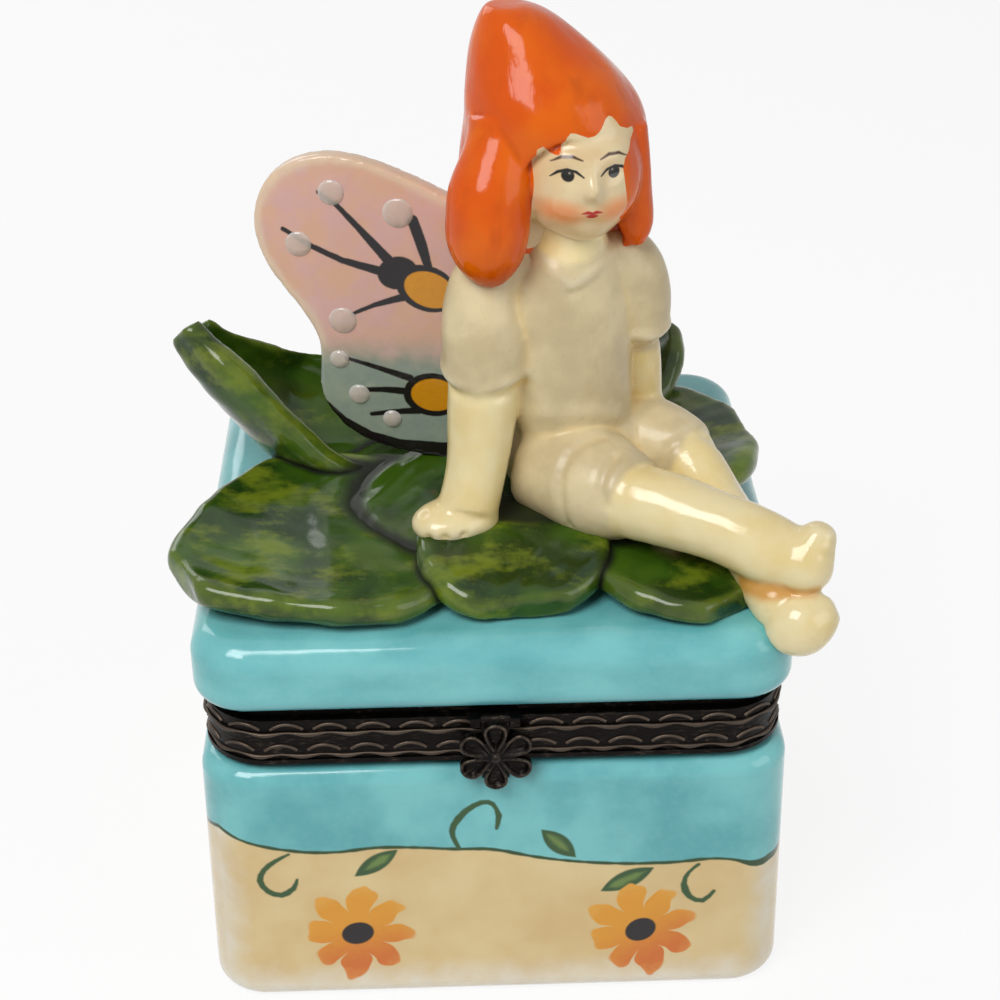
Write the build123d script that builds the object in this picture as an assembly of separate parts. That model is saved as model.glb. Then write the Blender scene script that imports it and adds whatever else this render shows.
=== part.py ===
from build123d import *
import os
from math import atan2, cos, degrees, radians, sin

# A hinged porcelain keepsake box for a milk tooth. A square box and lid, each rimmed with a metal
# bezel, are joined by a pinned hinge at the back and held by a flower clasp at the front. A bed of
# leaves on the lid carries a seated fairy. Millimetres. The origin is the centre of the underside,
# +Z is up and -Y is the front.

# Box and lid
lid_half = 26.2
base_half = 26.1
foot_half = 26.4
porcelain_corner = 5.0
base_top = 25.9
base_floor = 3.5
lid_bottom = 32.0
lid_top = 38.8
lid_ceiling = 36.3
well_half = 22.6
well_corner = 3.4
base_foot_round = 1.6
base_shoulder_round = 1.7
lid_shoulder_round = 2.6
lid_edge_round = 1.5

# Metal bezels
seam = 29.35
seam_gap = 0.1
bezel_half = 25.4
bezel_corner = 5.6
bezel_step_half = 24.6
bezel_step_corner = 4.9
skirt_height = 1.65
base_skirt_height = 2.75
skirt_thickness = 0.9
collar_half = 22.5
collar_thickness = 0.5
collar_corner = 3.2
collar_depth = 1.6
bead_height = 0.45
bead_proud = 0.2

# Hinge
hinge_y = 26.8
barrel_radius = 1.1
pin_radius = 0.5
running_clearance = 0.05
knuckle_pitch = 3.0
knuckle_length = 2.9
hinge_strap_thickness = 0.75
hinge_strap_drop = 1.55
stop_reach = 2.1
stop_half = 0.3
pin_head_radius = 0.85
pin_head_length = 0.4
lid_opening = 95.0
stop_gap = 0.06

# Clasp
clasp_y = -26.05
clasp_z = 31.15
clasp_barrel_radius = 0.5
clasp_pin_radius = 0.25
clasp_width = 2.4
clasp_ear = 0.85
clasp_strap_length = 5.9
clasp_strap_thickness = 0.5
flower_z = 27.9
flower_reach = 3.4
petal_radius = 1.25
petal_count = 6
petal_depth = 0.9
catch_width = 3.0
catch_height = 0.9
catch_proud = 0.5

# Fairy
facing = 24.0
head_facing = 19.0
fairy_x = 7.2
fairy_y = -6.4
head_centre = (8.0, -7.4, 73.8)
head_radii = (5.2, 5.2, 5.7)
face_width = 9.8
face_height = 13.0
face_shift = -0.8
fringe_height = 4.2
hair_gap = 0.02
wing_thickness = 1.5
wing_root = (2.2, -1.6)
right_wing_heading = 171.0
left_wing_root = (4.4, -0.6)
left_wing_heading = 76.0
wing_low = 43.6
drop_height = 0.45
drop_places = [(15.5, 25.8), (18.7, 20.8), (9.6, 24.1), (15.0, 13.5), (15.5, 9.6), (13.8, 6.1), (10.8, 3.7)]
drop_radii = [1.2, 1.2, 1.4, 1.3, 0.9, 1.0, 0.9]


def at(x, y, z):
    """A bare place in the object's frame."""
    return Location((x, y, z))


def largest(shape):
    """The biggest solid of a cut shape, so that no sliver is kept beside it."""
    return max(shape.solids(), key=lambda solid: solid.volume)


def less(shape, *cutters):
    """A shape cut where it is luted to its neighbours, as one solid."""
    for cutter in cutters:
        shape = shape - cutter
    return largest(shape)


def slab(half, corner, low, high):
    """A square slab with round corners, centred on the box."""
    outline = RectangleRounded(2 * half, 2 * half, corner)
    return extrude(Plane.XY.offset(low) * outline, high - low)


def ring(half, corner, wall, low, high):
    """A square ring with round corners and a wall of even thickness."""
    return slab(half, corner, low, high) - slab(half - wall, corner - wall, low - 1, high + 1)


def rod(radius, centre, length):
    """A round bar along X."""
    return at(*centre) * Rot(Y=90) * Cylinder(radius, length)


def ellipsoid(centre, radii, turn=0.0, tilt=(0.0, 0.0)):
    """An ellipsoid turned about Z, then tilted about its own X and Y."""
    body = scale(Sphere(1), by=radii)
    return at(*centre) * Rot(Z=turn) * Rot(X=tilt[0]) * Rot(Y=tilt[1]) * body


def limb(points, radii):
    """A tapering round limb through a list of centres."""
    places = [Vector(*point) for point in points]
    rings = []
    for i, (place, radius) in enumerate(zip(places, radii)):
        before = places[max(i - 1, 0)]
        after = places[min(i + 1, len(places) - 1)]
        plane = Plane(origin=place, z_dir=after - before)
        rings.append(plane * Circle(radius))
    return loft(rings)


def stack(sections, turn):
    """A body lofted through level ellipses: centre X, Y and Z, half width, half depth."""
    rings = [at(x, y, z) * Rot(Z=turn) * Ellipse(a, b) for x, y, z, a, b in sections]
    return loft(rings)


def blade(root, tip, up, stations):
    """A leaf lofted from root to tip. A station is a share of the length, the half width, the rise
    of the edges above the midrib, the thickness and the lift of the midrib."""
    start, end = Vector(*root), Vector(*tip)
    length = (end - start).length
    axis = (end - start).normalized()
    side = Vector(*up).cross(axis).normalized()
    rise = axis.cross(side)
    sections = []
    for share, half, cup, thick, lift in stations:
        middle = start + axis * (length * share) + rise * lift
        rim = 0.8 * thick
        under = ThreePointArc((-half, cup), (0, 0), (half, cup))
        right = ThreePointArc((half, cup), (half + rim / 2, cup + rim / 2), (half, cup + rim))
        over = ThreePointArc((half, cup + rim), (0, thick), (-half, cup + rim))
        left = ThreePointArc((-half, cup + rim), (-half - rim / 2, cup + rim / 2), (-half, cup))
        plane = Plane(origin=middle, x_dir=side, z_dir=axis)
        sections.append(plane * make_face(Wire([under, right, over, left])))
    return loft(sections)


def furled_leaf(stations):
    """A deeply cupped leaf lofted through sections given by near edge, keel, far edge and thickness."""
    sections = []
    for near, keel, far, thick in stations:
        near, keel, far = Vector(*near), Vector(*keel), Vector(*far)
        inward = ((near + far) * 0.5 - keel).normalized() * thick
        under = ThreePointArc(near, keel, far)
        over = ThreePointArc(far + inward, keel + inward, near + inward)
        swell = (far - near).normalized() * (thick * 0.4)
        far_rim = ThreePointArc(far, far + inward * 0.5 + swell, far + inward)
        near_rim = ThreePointArc(near + inward, near + inward * 0.5 - swell, near)
        sections.append(make_face(Wire([under, far_rim, over, near_rim])))
    return loft(sections)


def make_base_box():
    """The lower porcelain box, with its well."""
    foot = RectangleRounded(2 * foot_half, 2 * foot_half, porcelain_corner)
    draft = degrees(atan2(foot_half - base_half, base_top))
    block = extrude(foot, base_top, taper=draft)
    top = block.faces().sort_by(Axis.Z)[-1]
    block = fillet(top.edges(), base_shoulder_round)
    under = block.faces().sort_by(Axis.Z)[0]
    block = fillet(under.edges(), base_foot_round)
    return block - slab(well_half, well_corner, base_floor, base_top + 1)


def make_lid_shell():
    """The porcelain lid, hollow underneath."""
    block = slab(lid_half, porcelain_corner, lid_bottom, lid_top)
    block = fillet(block.faces().sort_by(Axis.Z)[-1].edges(), lid_shoulder_round)
    block = fillet(block.faces().sort_by(Axis.Z)[0].edges(), lid_edge_round)
    return block - slab(well_half, well_corner, lid_bottom - 1, lid_ceiling)


def bezel(skirt, bead, step, collar):
    """A rim of four square rings, each given by its low and high: skirt, bead, step and collar."""
    step_width = bezel_step_half - collar_half + collar_thickness
    rings = ring(bezel_half, bezel_corner, skirt_thickness, *skirt)
    rings += ring(bezel_half + bead_proud, bezel_corner + bead_proud, skirt_thickness, *bead)
    rings += ring(bezel_step_half, bezel_step_corner, step_width, *step)
    rings += ring(collar_half, collar_corner, collar_thickness, *collar)
    return rings


def make_base_bezel():
    """The lower rim, which caps the porcelain and reaches down into the well."""
    top = seam - seam_gap / 2
    low = top - base_skirt_height
    rim = bezel((low, top), (low, low + bead_height), (base_top, top), (base_top - collar_depth, top))
    return rim - make_base_box()


def make_lid_bezel():
    """The upper rim, shallower than the lower one, with its bead at the seam."""
    low = seam + seam_gap / 2
    top = lid_bottom + collar_depth
    return bezel((low, low + skirt_height), (low, low + bead_height), (low, lid_bottom), (low, top))


def hinge_strap(centre_x, low, high):
    """The plate that carries a knuckle on the back of a bezel."""
    depth = hinge_strap_thickness
    middle = (low + high) / 2
    return at(centre_x, bezel_half + depth / 2, middle) * Box(knuckle_length, depth, high - low)


def make_base_knuckles():
    """Three knuckles on the lower rim, gripping the pin."""
    knuckles = []
    for place in (-2, 0, 2):
        x = place * knuckle_pitch
        barrel = rod(barrel_radius, (x, hinge_y, seam), knuckle_length)
        strap = hinge_strap(x, seam - hinge_strap_drop - bead_height, seam - seam_gap)
        bore = rod(pin_radius, (x, hinge_y, seam), knuckle_length + 1)
        knuckles.append(largest(barrel + strap - make_base_bezel() - bore))
    return Compound(children=knuckles)


def stop_lug(centre_x):
    """The lug that meets the lower rim's back when the lid is fully open."""
    rim = hinge_y - bezel_half - stop_gap
    # Seen along the hinge, an angle runs from straight back towards straight down. The leading
    # corner meets the rim's plane after the opening swing.
    meeting = 180 - degrees(atan2((stop_reach**2 - rim**2) ** 0.5, rim))
    corner = degrees(atan2(stop_half, stop_reach))
    start = meeting - lid_opening - corner
    length = stop_reach * cos(radians(corner)) - barrel_radius / 2
    middle = barrel_radius / 2 + length / 2
    bar = Box(knuckle_length, length, 2 * stop_half)
    return at(centre_x, hinge_y, seam) * Rot(X=-start) * Pos(0, middle, 0) * bar


def make_lid_knuckles():
    """Two knuckles on the upper rim, turning on the pin."""
    knuckles = []
    for place in (-1, 1):
        x = place * knuckle_pitch
        barrel = rod(barrel_radius, (x, hinge_y, seam), knuckle_length)
        strap = hinge_strap(x, seam + seam_gap, seam + hinge_strap_drop)
        bore = rod(pin_radius + running_clearance, (x, hinge_y, seam), knuckle_length + 1)
        knuckles.append(largest(barrel + strap + stop_lug(x) - make_lid_bezel() - bore))
    return Compound(children=knuckles)


def make_hinge_pin():
    """The pin, with a small head at each end."""
    span = 4 * knuckle_pitch + knuckle_length
    shank = rod(pin_radius, (0, hinge_y, seam), span + pin_head_length)
    for side in (-1, 1):
        x = side * (span + pin_head_length) / 2
        shank += rod(pin_head_radius, (x, hinge_y, seam), pin_head_length)
    return shank


def make_clasp_bracket():
    """Two ears on the upper rim that hold the clasp's pin."""
    ears = []
    gap = 0.1
    for side in (-1, 1):
        x = side * (clasp_width / 2 + gap + clasp_ear / 2)
        depth = abs(clasp_y - clasp_barrel_radius) - bezel_half
        block = at(x, -bezel_half - depth / 2, clasp_z - 0.1) * Box(clasp_ear, depth, 0.9)
        ears.append(largest(block - make_lid_bezel() - rod(clasp_pin_radius, (x, clasp_y, clasp_z), 2)))
    return Compound(children=ears)


def make_clasp_pin():
    """The small pin through the ears."""
    return rod(clasp_pin_radius, (0, clasp_y, clasp_z), clasp_width + 0.2 + 2 * clasp_ear)


def make_clasp_strap():
    """The strap that hangs from the pin behind the flower, round at its top."""
    barrel = rod(clasp_barrel_radius, (0, clasp_y, clasp_z), clasp_width)
    y = clasp_y - clasp_barrel_radius + clasp_strap_thickness / 2
    plate = Box(clasp_width, clasp_strap_thickness, clasp_strap_length)
    plate = at(0, y, clasp_z - clasp_strap_length / 2) * plate
    bore = rod(clasp_pin_radius + running_clearance, (0, clasp_y, clasp_z), clasp_width + 1)
    return barrel + plate - bore


def make_clasp_flower():
    """A flower of six dished petals, soldered to the front of the strap."""
    front = clasp_y - clasp_barrel_radius
    outline = Circle(petal_radius)
    reach = flower_reach - petal_radius
    for i in range(petal_count):
        turn = Rot(Z=360 / petal_count * i)
        outline += turn * Pos(0, reach) * Circle(petal_radius)
        outline += turn * Pos(0, reach / 2) * Rectangle(petal_radius, reach)
    face = Plane(origin=(0, front, flower_z), x_dir=(1, 0, 0), z_dir=(0, -1, 0))
    flower = face * extrude(outline, petal_depth)
    dish = petal_radius * 0.72
    for i in range(petal_count):
        angle = radians(360 / petal_count * i)
        centre = (reach * sin(angle), front - petal_depth - 0.25, flower_z + reach * cos(angle))
        flower -= at(*centre) * Sphere(dish)
    return flower


def make_catch_bar():
    """The bar on the lower rim that the closed strap lies against."""
    z = seam - seam_gap / 2 - base_skirt_height / 2
    bar = Box(catch_width, catch_proud, catch_height)
    return at(0, -bezel_half - catch_proud / 2, z) * bar


def make_mound():
    """The middle of the leaf bed, which the fairy sits on."""
    return stack(
        [
            (3.0, -3.0, lid_top, 19.0, 16.0),
            (3.0, -3.0, lid_top + 1.4, 18.2, 15.4),
            (3.5, -3.0, lid_top + 3.2, 15.0, 13.0),
            (4.0, -4.0, lid_top + 4.4, 10.5, 9.5),
        ],
        0,
    )


def make_leaves():
    """The leaves, each a thick cupped blade that runs out from under the mound."""
    top = lid_top
    level = (0, 0, 1)
    leaves = {
        "leaf_left": blade(
            (-4.0, -5.6, top + 0.5), (-26.8, -18.6, top + 0.4), (0.03, -0.05, 1),
            [(0.02, 6.0, 0.6, 2.6, 0.3), (0.28, 11.6, 0.9, 2.3, 0.0), (0.52, 12.0, 1.0, 2.2, 0.0),
             (0.74, 8.6, 1.0, 2.3, 0.1), (0.9, 5.0, 0.8, 2.5, 0.4), (0.985, 2.2, 0.5, 2.4, 0.8)],
        ),
        "leaf_front": blade(
            (1.0, -9.0, top + 2.2), (2.8, -22.4, top + 0.2), level,
            [(0.02, 5.2, 0.5, 2.2, 0.2), (0.4, 7.0, 0.6, 2.4, 0.6), (0.75, 6.6, 0.5, 2.6, 0.4),
             (0.99, 3.0, 0.4, 1.8, 0.2)],
        ),
        "leaf_front_right": blade(
            (11.0, -8.5, top + 1.0), (20.5, -22.4, top + 0.1), level,
            [(0.02, 4.2, 0.5, 2.2, 0.2), (0.4, 6.6, 0.5, 2.2, 0.1), (0.75, 5.8, 0.5, 2.0, 0.1),
             (0.99, 2.6, 0.4, 1.6, 0.1)],
        ),
        "leaf_right": blade(
            (9.0, 0.0, top + 1.2), (24.7, 3.4, top + 1.4), level,
            [(0.02, 5.0, 0.6, 2.2, 0.2), (0.35, 8.6, 1.0, 2.2, 0.3), (0.68, 8.8, 1.1, 2.3, 0.8),
             (0.88, 6.2, 0.9, 2.3, 1.0), (0.99, 2.8, 0.5, 2.0, 1.2)],
        ),
        "leaf_back_right": blade(
            (8.0, 7.0, top + 0.6), (18.2, 15.6, top + 9.4), (-0.4, -0.5, 1),
            [(0.02, 3.6, 0.6, 2.2, 0.2), (0.4, 5.2, 0.9, 2.2, -0.8), (0.75, 4.4, 0.8, 2.0, -0.4),
             (0.99, 1.8, 0.4, 1.6, 0.4)],
        ),
        "leaf_back": blade(
            (2.0, 8.0, top + 0.4), (-1.0, 23.0, top + 2.0), level,
            [(0.02, 4.4, 0.6, 2.2, 0.2), (0.4, 7.6, 0.9, 2.2, 0.1), (0.75, 6.6, 0.9, 2.0, 0.2),
             (0.99, 2.4, 0.4, 1.8, 0.6)],
        ),
        "leaf_upright": furled_leaf(
            [
                ((-11.5, -0.8, top + 2.0), (-12.0, 4.0, top + 0.6), (-9.0, 9.5, top + 2.4), 2.1),
                ((-17.8, -0.9, top + 5.2), (-19.6, 3.6, top + 2.6), (-13.6, 10.8, top + 6.8), 2.3),
                ((-22.4, 0.8, top + 9.8), (-24.2, 4.0, top + 7.2), (-19.0, 10.4, top + 8.4), 2.4),
                ((-26.0, 2.6, top + 13.1), (-27.3, 4.8, top + 11.0), (-24.4, 8.4, top + 11.0), 2.4),
                ((-28.0, 4.0, top + 15.3), (-28.7, 5.3, top + 14.0), (-27.4, 6.8, top + 14.0), 2.0),
            ]
        ),
    }
    return leaves


def make_hips():
    """The seat and the two short trouser legs of the romper."""
    seat = ellipsoid((8.4, -5.4, 46.6), (7.2, 6.0, 5.2), facing)
    near = limb(
        [(5.0, -7.4, 46.2), (8.4, -10.6, 46.1), (11.0, -13.2, 46.1), (12.6, -14.8, 46.1)],
        [4.5, 4.8, 4.4, 3.7],
    )
    far = limb([(11.4, -3.4, 46.8), (15.2, -5.6, 46.8), (18.4, -8.2, 46.6)], [4.2, 3.9, 3.2])
    return seat + near + far


def make_torso():
    """The bodice, from the waist to the neck."""
    return stack(
        [
            (fairy_x + 0.8, fairy_y + 0.6, 47.0, 5.2, 4.0),
            (fairy_x + 0.3, fairy_y + 0.3, 51.5, 5.7, 4.5),
            (fairy_x, fairy_y, 56.5, 5.7, 4.7),
            (fairy_x, fairy_y - 0.1, 60.8, 5.9, 4.4),
            (fairy_x, fairy_y - 0.2, 64.0, 5.4, 3.9),
            (fairy_x + 0.2, fairy_y - 0.5, 66.4, 3.6, 3.3),
            (fairy_x + 0.4, fairy_y - 0.8, 69.4, 2.9, 2.9),
        ],
        facing,
    )


def make_arms():
    """Each arm has a full short sleeve, a bare forearm and a hand set flat on the leaves."""
    right = limb(
        [(3.6, -7.2, 66.0), (0.5, -7.9, 64.4), (-0.2, -9.0, 60.6), (-0.3, -9.7, 55.8)],
        [1.8, 3.0, 3.6, 3.3],
    )
    right += limb(
        [(-0.3, -9.9, 56.6), (-0.6, -10.8, 51.0), (-1.2, -12.0, 47.2), (-1.9, -13.2, 44.6)],
        [2.8, 2.9, 2.6, 2.6],
    )
    right += ellipsoid((-3.0, -13.6, 43.8), (3.9, 2.9, 1.7), 20)
    left = limb(
        [(9.6, -5.6, 66.0), (11.8, -5.0, 64.9), (13.3, -4.5, 61.2), (13.4, -4.0, 57.4)],
        [1.8, 2.9, 3.1, 2.8],
    )
    left += limb(
        [(13.5, -4.0, 57.4), (14.2, -3.4, 52.4), (14.8, -2.6, 47.4), (15.2, -2.4, 45.2)],
        [1.8, 1.7, 1.5, 1.7],
    )
    left += ellipsoid((16.2, -2.0, 44.2), (2.8, 2.2, 1.4), 10)
    return right, left


def make_legs():
    """The bare shins, crossed at the ankle, with the right foot above the left."""
    right = limb(
        [(10.6, -13.6, 46.1), (16.0, -17.0, 46.1), (21.3, -19.8, 45.2), (25.0, -21.5, 44.1),
         (26.6, -22.1, 43.8)],
        [3.3, 3.1, 3.0, 2.8, 2.4],
    )
    right += limb(
        [(25.8, -22.3, 41.5), (26.0, -22.3, 42.2), (26.4, -22.2, 43.9), (27.2, -22.2, 45.6),
         (27.9, -22.2, 46.9), (28.1, -22.2, 47.4)],
        [1.2, 2.0, 2.7, 2.0, 1.3, 0.6],
    )
    left = limb(
        [(17.6, -7.6, 46.7), (19.6, -11.2, 44.8), (21.8, -16.2, 42.9), (23.4, -20.4, 41.3),
         (24.8, -23.0, 39.8)],
        [3.0, 2.6, 2.35, 2.3, 2.3],
    )
    left += limb(
        [(24.0, -24.2, 37.2), (24.5, -24.2, 37.7), (26.1, -24.1, 38.9), (28.0, -24.1, 39.8),
         (29.1, -24.1, 40.3)],
        [1.1, 2.0, 2.8, 2.1, 0.9],
    )
    return right, left


def make_head(growth=0.0):
    """The head, or the space that the hair leaves for it."""
    radii = tuple(radius + growth for radius in head_radii)
    return ellipsoid(head_centre, radii, head_facing)


def make_hair():
    """Thick hair: a leaning crown, the fall behind and a full lock on each side of the face."""
    crown = stack(
        [
            (5.6, -3.2, 65.6, 7.9, 5.2),
            (5.8, -3.6, 70.0, 8.4, 6.4),
            (6.1, -4.0, 74.5, 7.9, 7.2),
            (6.0, -4.2, 78.4, 7.4, 7.4),
            (4.8, -4.0, 82.0, 5.9, 6.0),
            (3.4, -3.8, 85.0, 3.9, 4.0),
            (2.2, -3.8, 86.9, 1.6, 1.6),
        ],
        0,
    )
    ahead = (sin(radians(head_facing)), -cos(radians(head_facing)))
    aside = (-ahead[1], ahead[0])
    x, y, z = head_centre
    x += face_shift * aside[0]
    y += face_shift * aside[1]
    middle = (x, y, z + fringe_height - face_height / 2)
    face = Plane(origin=middle, x_dir=(*aside, 0), z_dir=(*ahead, 0))
    crown = crown - face * extrude(RectangleRounded(face_width, face_height, face_width * 0.4), 14)
    crown += limb(
        [(1.6, -7.4, 78.0), (0.7, -9.2, 73.6), (0.25, -10.1, 70.0), (0.35, -10.2, 67.2),
         (0.45, -10.1, 65.5), (0.5, -10.0, 64.9)],
        [2.7, 3.3, 3.5, 2.8, 1.6, 0.7],
    )
    crown += limb(
        [(12.2, -6.6, 77.5), (12.6, -7.0, 73.0), (12.8, -7.2, 69.6), (13.0, -7.3, 67.9),
         (13.1, -7.3, 67.1)],
        [1.5, 1.5, 1.5, 1.0, 0.5],
    )
    return crown


def wing_outline():
    """A butterfly wing in its own plane: X runs out from the root and Y runs up from its foot."""
    edge = Spline(
        [(-3.5, 21.0), (4.0, 24.9), (10.5, 27.9), (16.3, 29.0), (20.8, 27.0), (22.5, 23.0),
         (21.6, 18.8), (18.8, 14.6), (17.1, 10.6), (17.3, 7.0), (14.3, 2.1), (10.5, 0.6), (5.0, -0.2),
         (-3.5, -1.0)]
    )
    return make_face(Wire([edge, Line((-3.5, -1.0), (-3.5, 21.0))]))


def wing(root, heading):
    """One wing, a slab that stands on the leaves behind the fairy's back, and its plane."""
    angle = radians(heading)
    out = (cos(angle), sin(angle), 0)
    plane = Plane(origin=(*root, wing_low), x_dir=out, z_dir=(out[1], -out[0], 0))
    slab_half = extrude(plane * wing_outline(), wing_thickness / 2, both=True)
    return slab_half, plane


def wing_drops(plane, side):
    """Clear raised drops on the front face of a wing."""
    drops = []
    for (x, y), radius in zip(drop_places, drop_radii):
        centre = plane.origin + plane.x_dir * x + plane.y_dir * y + plane.z_dir * (side * wing_thickness / 2)
        lens = Plane(origin=centre, x_dir=plane.x_dir, z_dir=plane.z_dir * side)
        cap = scale(Sphere(1), by=(radius, radius, drop_height)) & Pos(0, 0, 1) * Box(4, 4, 2)
        drops.append(largest(lens * cap))
    return Compound(children=drops)


def build():
    """Every piece by name, each cut where it meets the pieces under it."""
    parts = {
        "base_box": make_base_box(),
        "base_bezel": make_base_bezel(),
        "base_hinge_knuckles": make_base_knuckles(),
        "hinge_pin": make_hinge_pin(),
        "catch_bar": make_catch_bar(),
        "lid_shell": make_lid_shell(),
        "lid_hinge_knuckles": make_lid_knuckles(),
        "clasp_bracket": make_clasp_bracket(),
        "clasp_pin": make_clasp_pin(),
        "clasp_strap": make_clasp_strap(),
    }
    parts["lid_bezel"] = less(make_lid_bezel(), parts["lid_shell"])
    parts["clasp_flower"] = less(make_clasp_flower(), parts["clasp_strap"])
    ground = Pos(0, 0, lid_top - 10) * Box(80, 80, 20)
    mound = make_mound()
    parts["leaf_mound"] = mound
    placed = [mound]
    for name, leaf in make_leaves().items():
        parts[name] = less(leaf, ground, *placed)
        placed.append(parts[name])
    hips = less(make_hips(), *placed)
    torso = less(make_torso(), hips)
    parts["fairy_romper"] = hips
    parts["fairy_torso"] = torso
    right_arm, left_arm = make_arms()
    parts["fairy_right_arm"] = less(right_arm, torso, hips, *placed)
    parts["fairy_left_arm"] = less(left_arm, torso, hips, *placed)
    right_leg, left_leg = make_legs()
    parts["fairy_left_leg"] = less(left_leg, hips, parts["lid_shell"], *placed)
    parts["fairy_right_leg"] = less(right_leg, hips, parts["fairy_left_leg"], *placed)
    parts["fairy_head"] = less(make_head(), torso)
    arms = (parts["fairy_right_arm"], parts["fairy_left_arm"])
    parts["fairy_hair"] = less(make_hair(), make_head(hair_gap), torso, *arms)
    right_wing, right_plane = wing(wing_root, right_wing_heading)
    left_wing, left_plane = wing(left_wing_root, left_wing_heading)
    body = (torso, hips, parts["fairy_hair"], *arms)
    parts["fairy_right_wing"] = less(right_wing, *body, *placed)
    parts["fairy_left_wing"] = less(left_wing, parts["fairy_right_wing"], *body, *placed)
    parts["right_wing_drops"] = wing_drops(right_plane, 1 if right_plane.z_dir.Y < 0 else -1)
    parts["left_wing_drops"] = wing_drops(left_plane, 1 if left_plane.z_dir.X > 0 else -1)
    return parts


def main():
    """Writes one STEP file for each piece."""
    os.makedirs("parts", exist_ok=True)
    for name, shape in build().items():
        export_step(shape, f"parts/{name}.step")


main()
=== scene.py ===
"""Looks for a hinged porcelain keepsake box with a seated fairy on its lid.

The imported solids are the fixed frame. The box, lid, rims and hinge keep their solids and take glazed
and metal finishes. The fairy, her hair and wings, the leaves and the clasp flower are modelled again
over their solids, and both rims get scalloped trim. Places are in millimetres: X runs right, Y back
and Z up from the centre of the underside.
"""

import logging
import math
from dataclasses import dataclass, field
from enum import Enum

import bmesh
import bpy
import numpy as np
from mathutils import Matrix, Vector
from mathutils.bvhtree import BVHTree


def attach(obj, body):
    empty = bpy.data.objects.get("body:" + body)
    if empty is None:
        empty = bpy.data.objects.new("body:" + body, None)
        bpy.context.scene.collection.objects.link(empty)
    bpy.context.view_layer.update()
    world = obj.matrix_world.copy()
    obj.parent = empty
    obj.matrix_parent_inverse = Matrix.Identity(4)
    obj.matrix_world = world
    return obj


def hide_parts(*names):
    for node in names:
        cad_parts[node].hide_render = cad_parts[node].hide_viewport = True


MM = 0.001

Socket = bpy.types.NodeSocket
Piece = bpy.types.Object
Value = float | Socket
Spot = tuple[float, float]
Place = tuple[float, float, float]

log = logging.getLogger("keepsake_box")
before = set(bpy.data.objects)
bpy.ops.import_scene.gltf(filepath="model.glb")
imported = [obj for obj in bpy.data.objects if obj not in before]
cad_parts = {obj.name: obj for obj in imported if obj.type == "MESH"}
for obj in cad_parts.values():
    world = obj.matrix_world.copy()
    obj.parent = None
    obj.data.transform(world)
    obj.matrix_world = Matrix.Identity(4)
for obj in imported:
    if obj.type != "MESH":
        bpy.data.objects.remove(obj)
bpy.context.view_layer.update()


class Body(Enum):
    """The bodies that pieces ride on."""

    BASE = "base"
    LID = "lid"
    CLASP = "clasp"


class Slot(Enum):
    """The record's material slot names for the modelled pieces."""

    LEAF = "leaf_glaze"
    FIGURE = "figure_porcelain"
    HAIR = "hair_glaze"
    WING = "wing_glaze"
    DROP = "drop_glaze"
    RIM = "rim_metal"
    CLASP = "clasp_metal"


def colour(code: str) -> tuple[float, float, float, float]:
    """A colour written as six hex digits, in linear light.

    Args:
        code: Red, green and blue, two hex digits each.

    Returns:
        Red, green, blue and alpha.
    """
    parts = [int(code[i : i + 2], 16) / 255 for i in (0, 2, 4)]
    linear = [c / 12.92 if c <= 0.04045 else ((c + 0.055) / 1.055) ** 2.4 for c in parts]
    return (*linear, 1.0)


# Finishes


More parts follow.
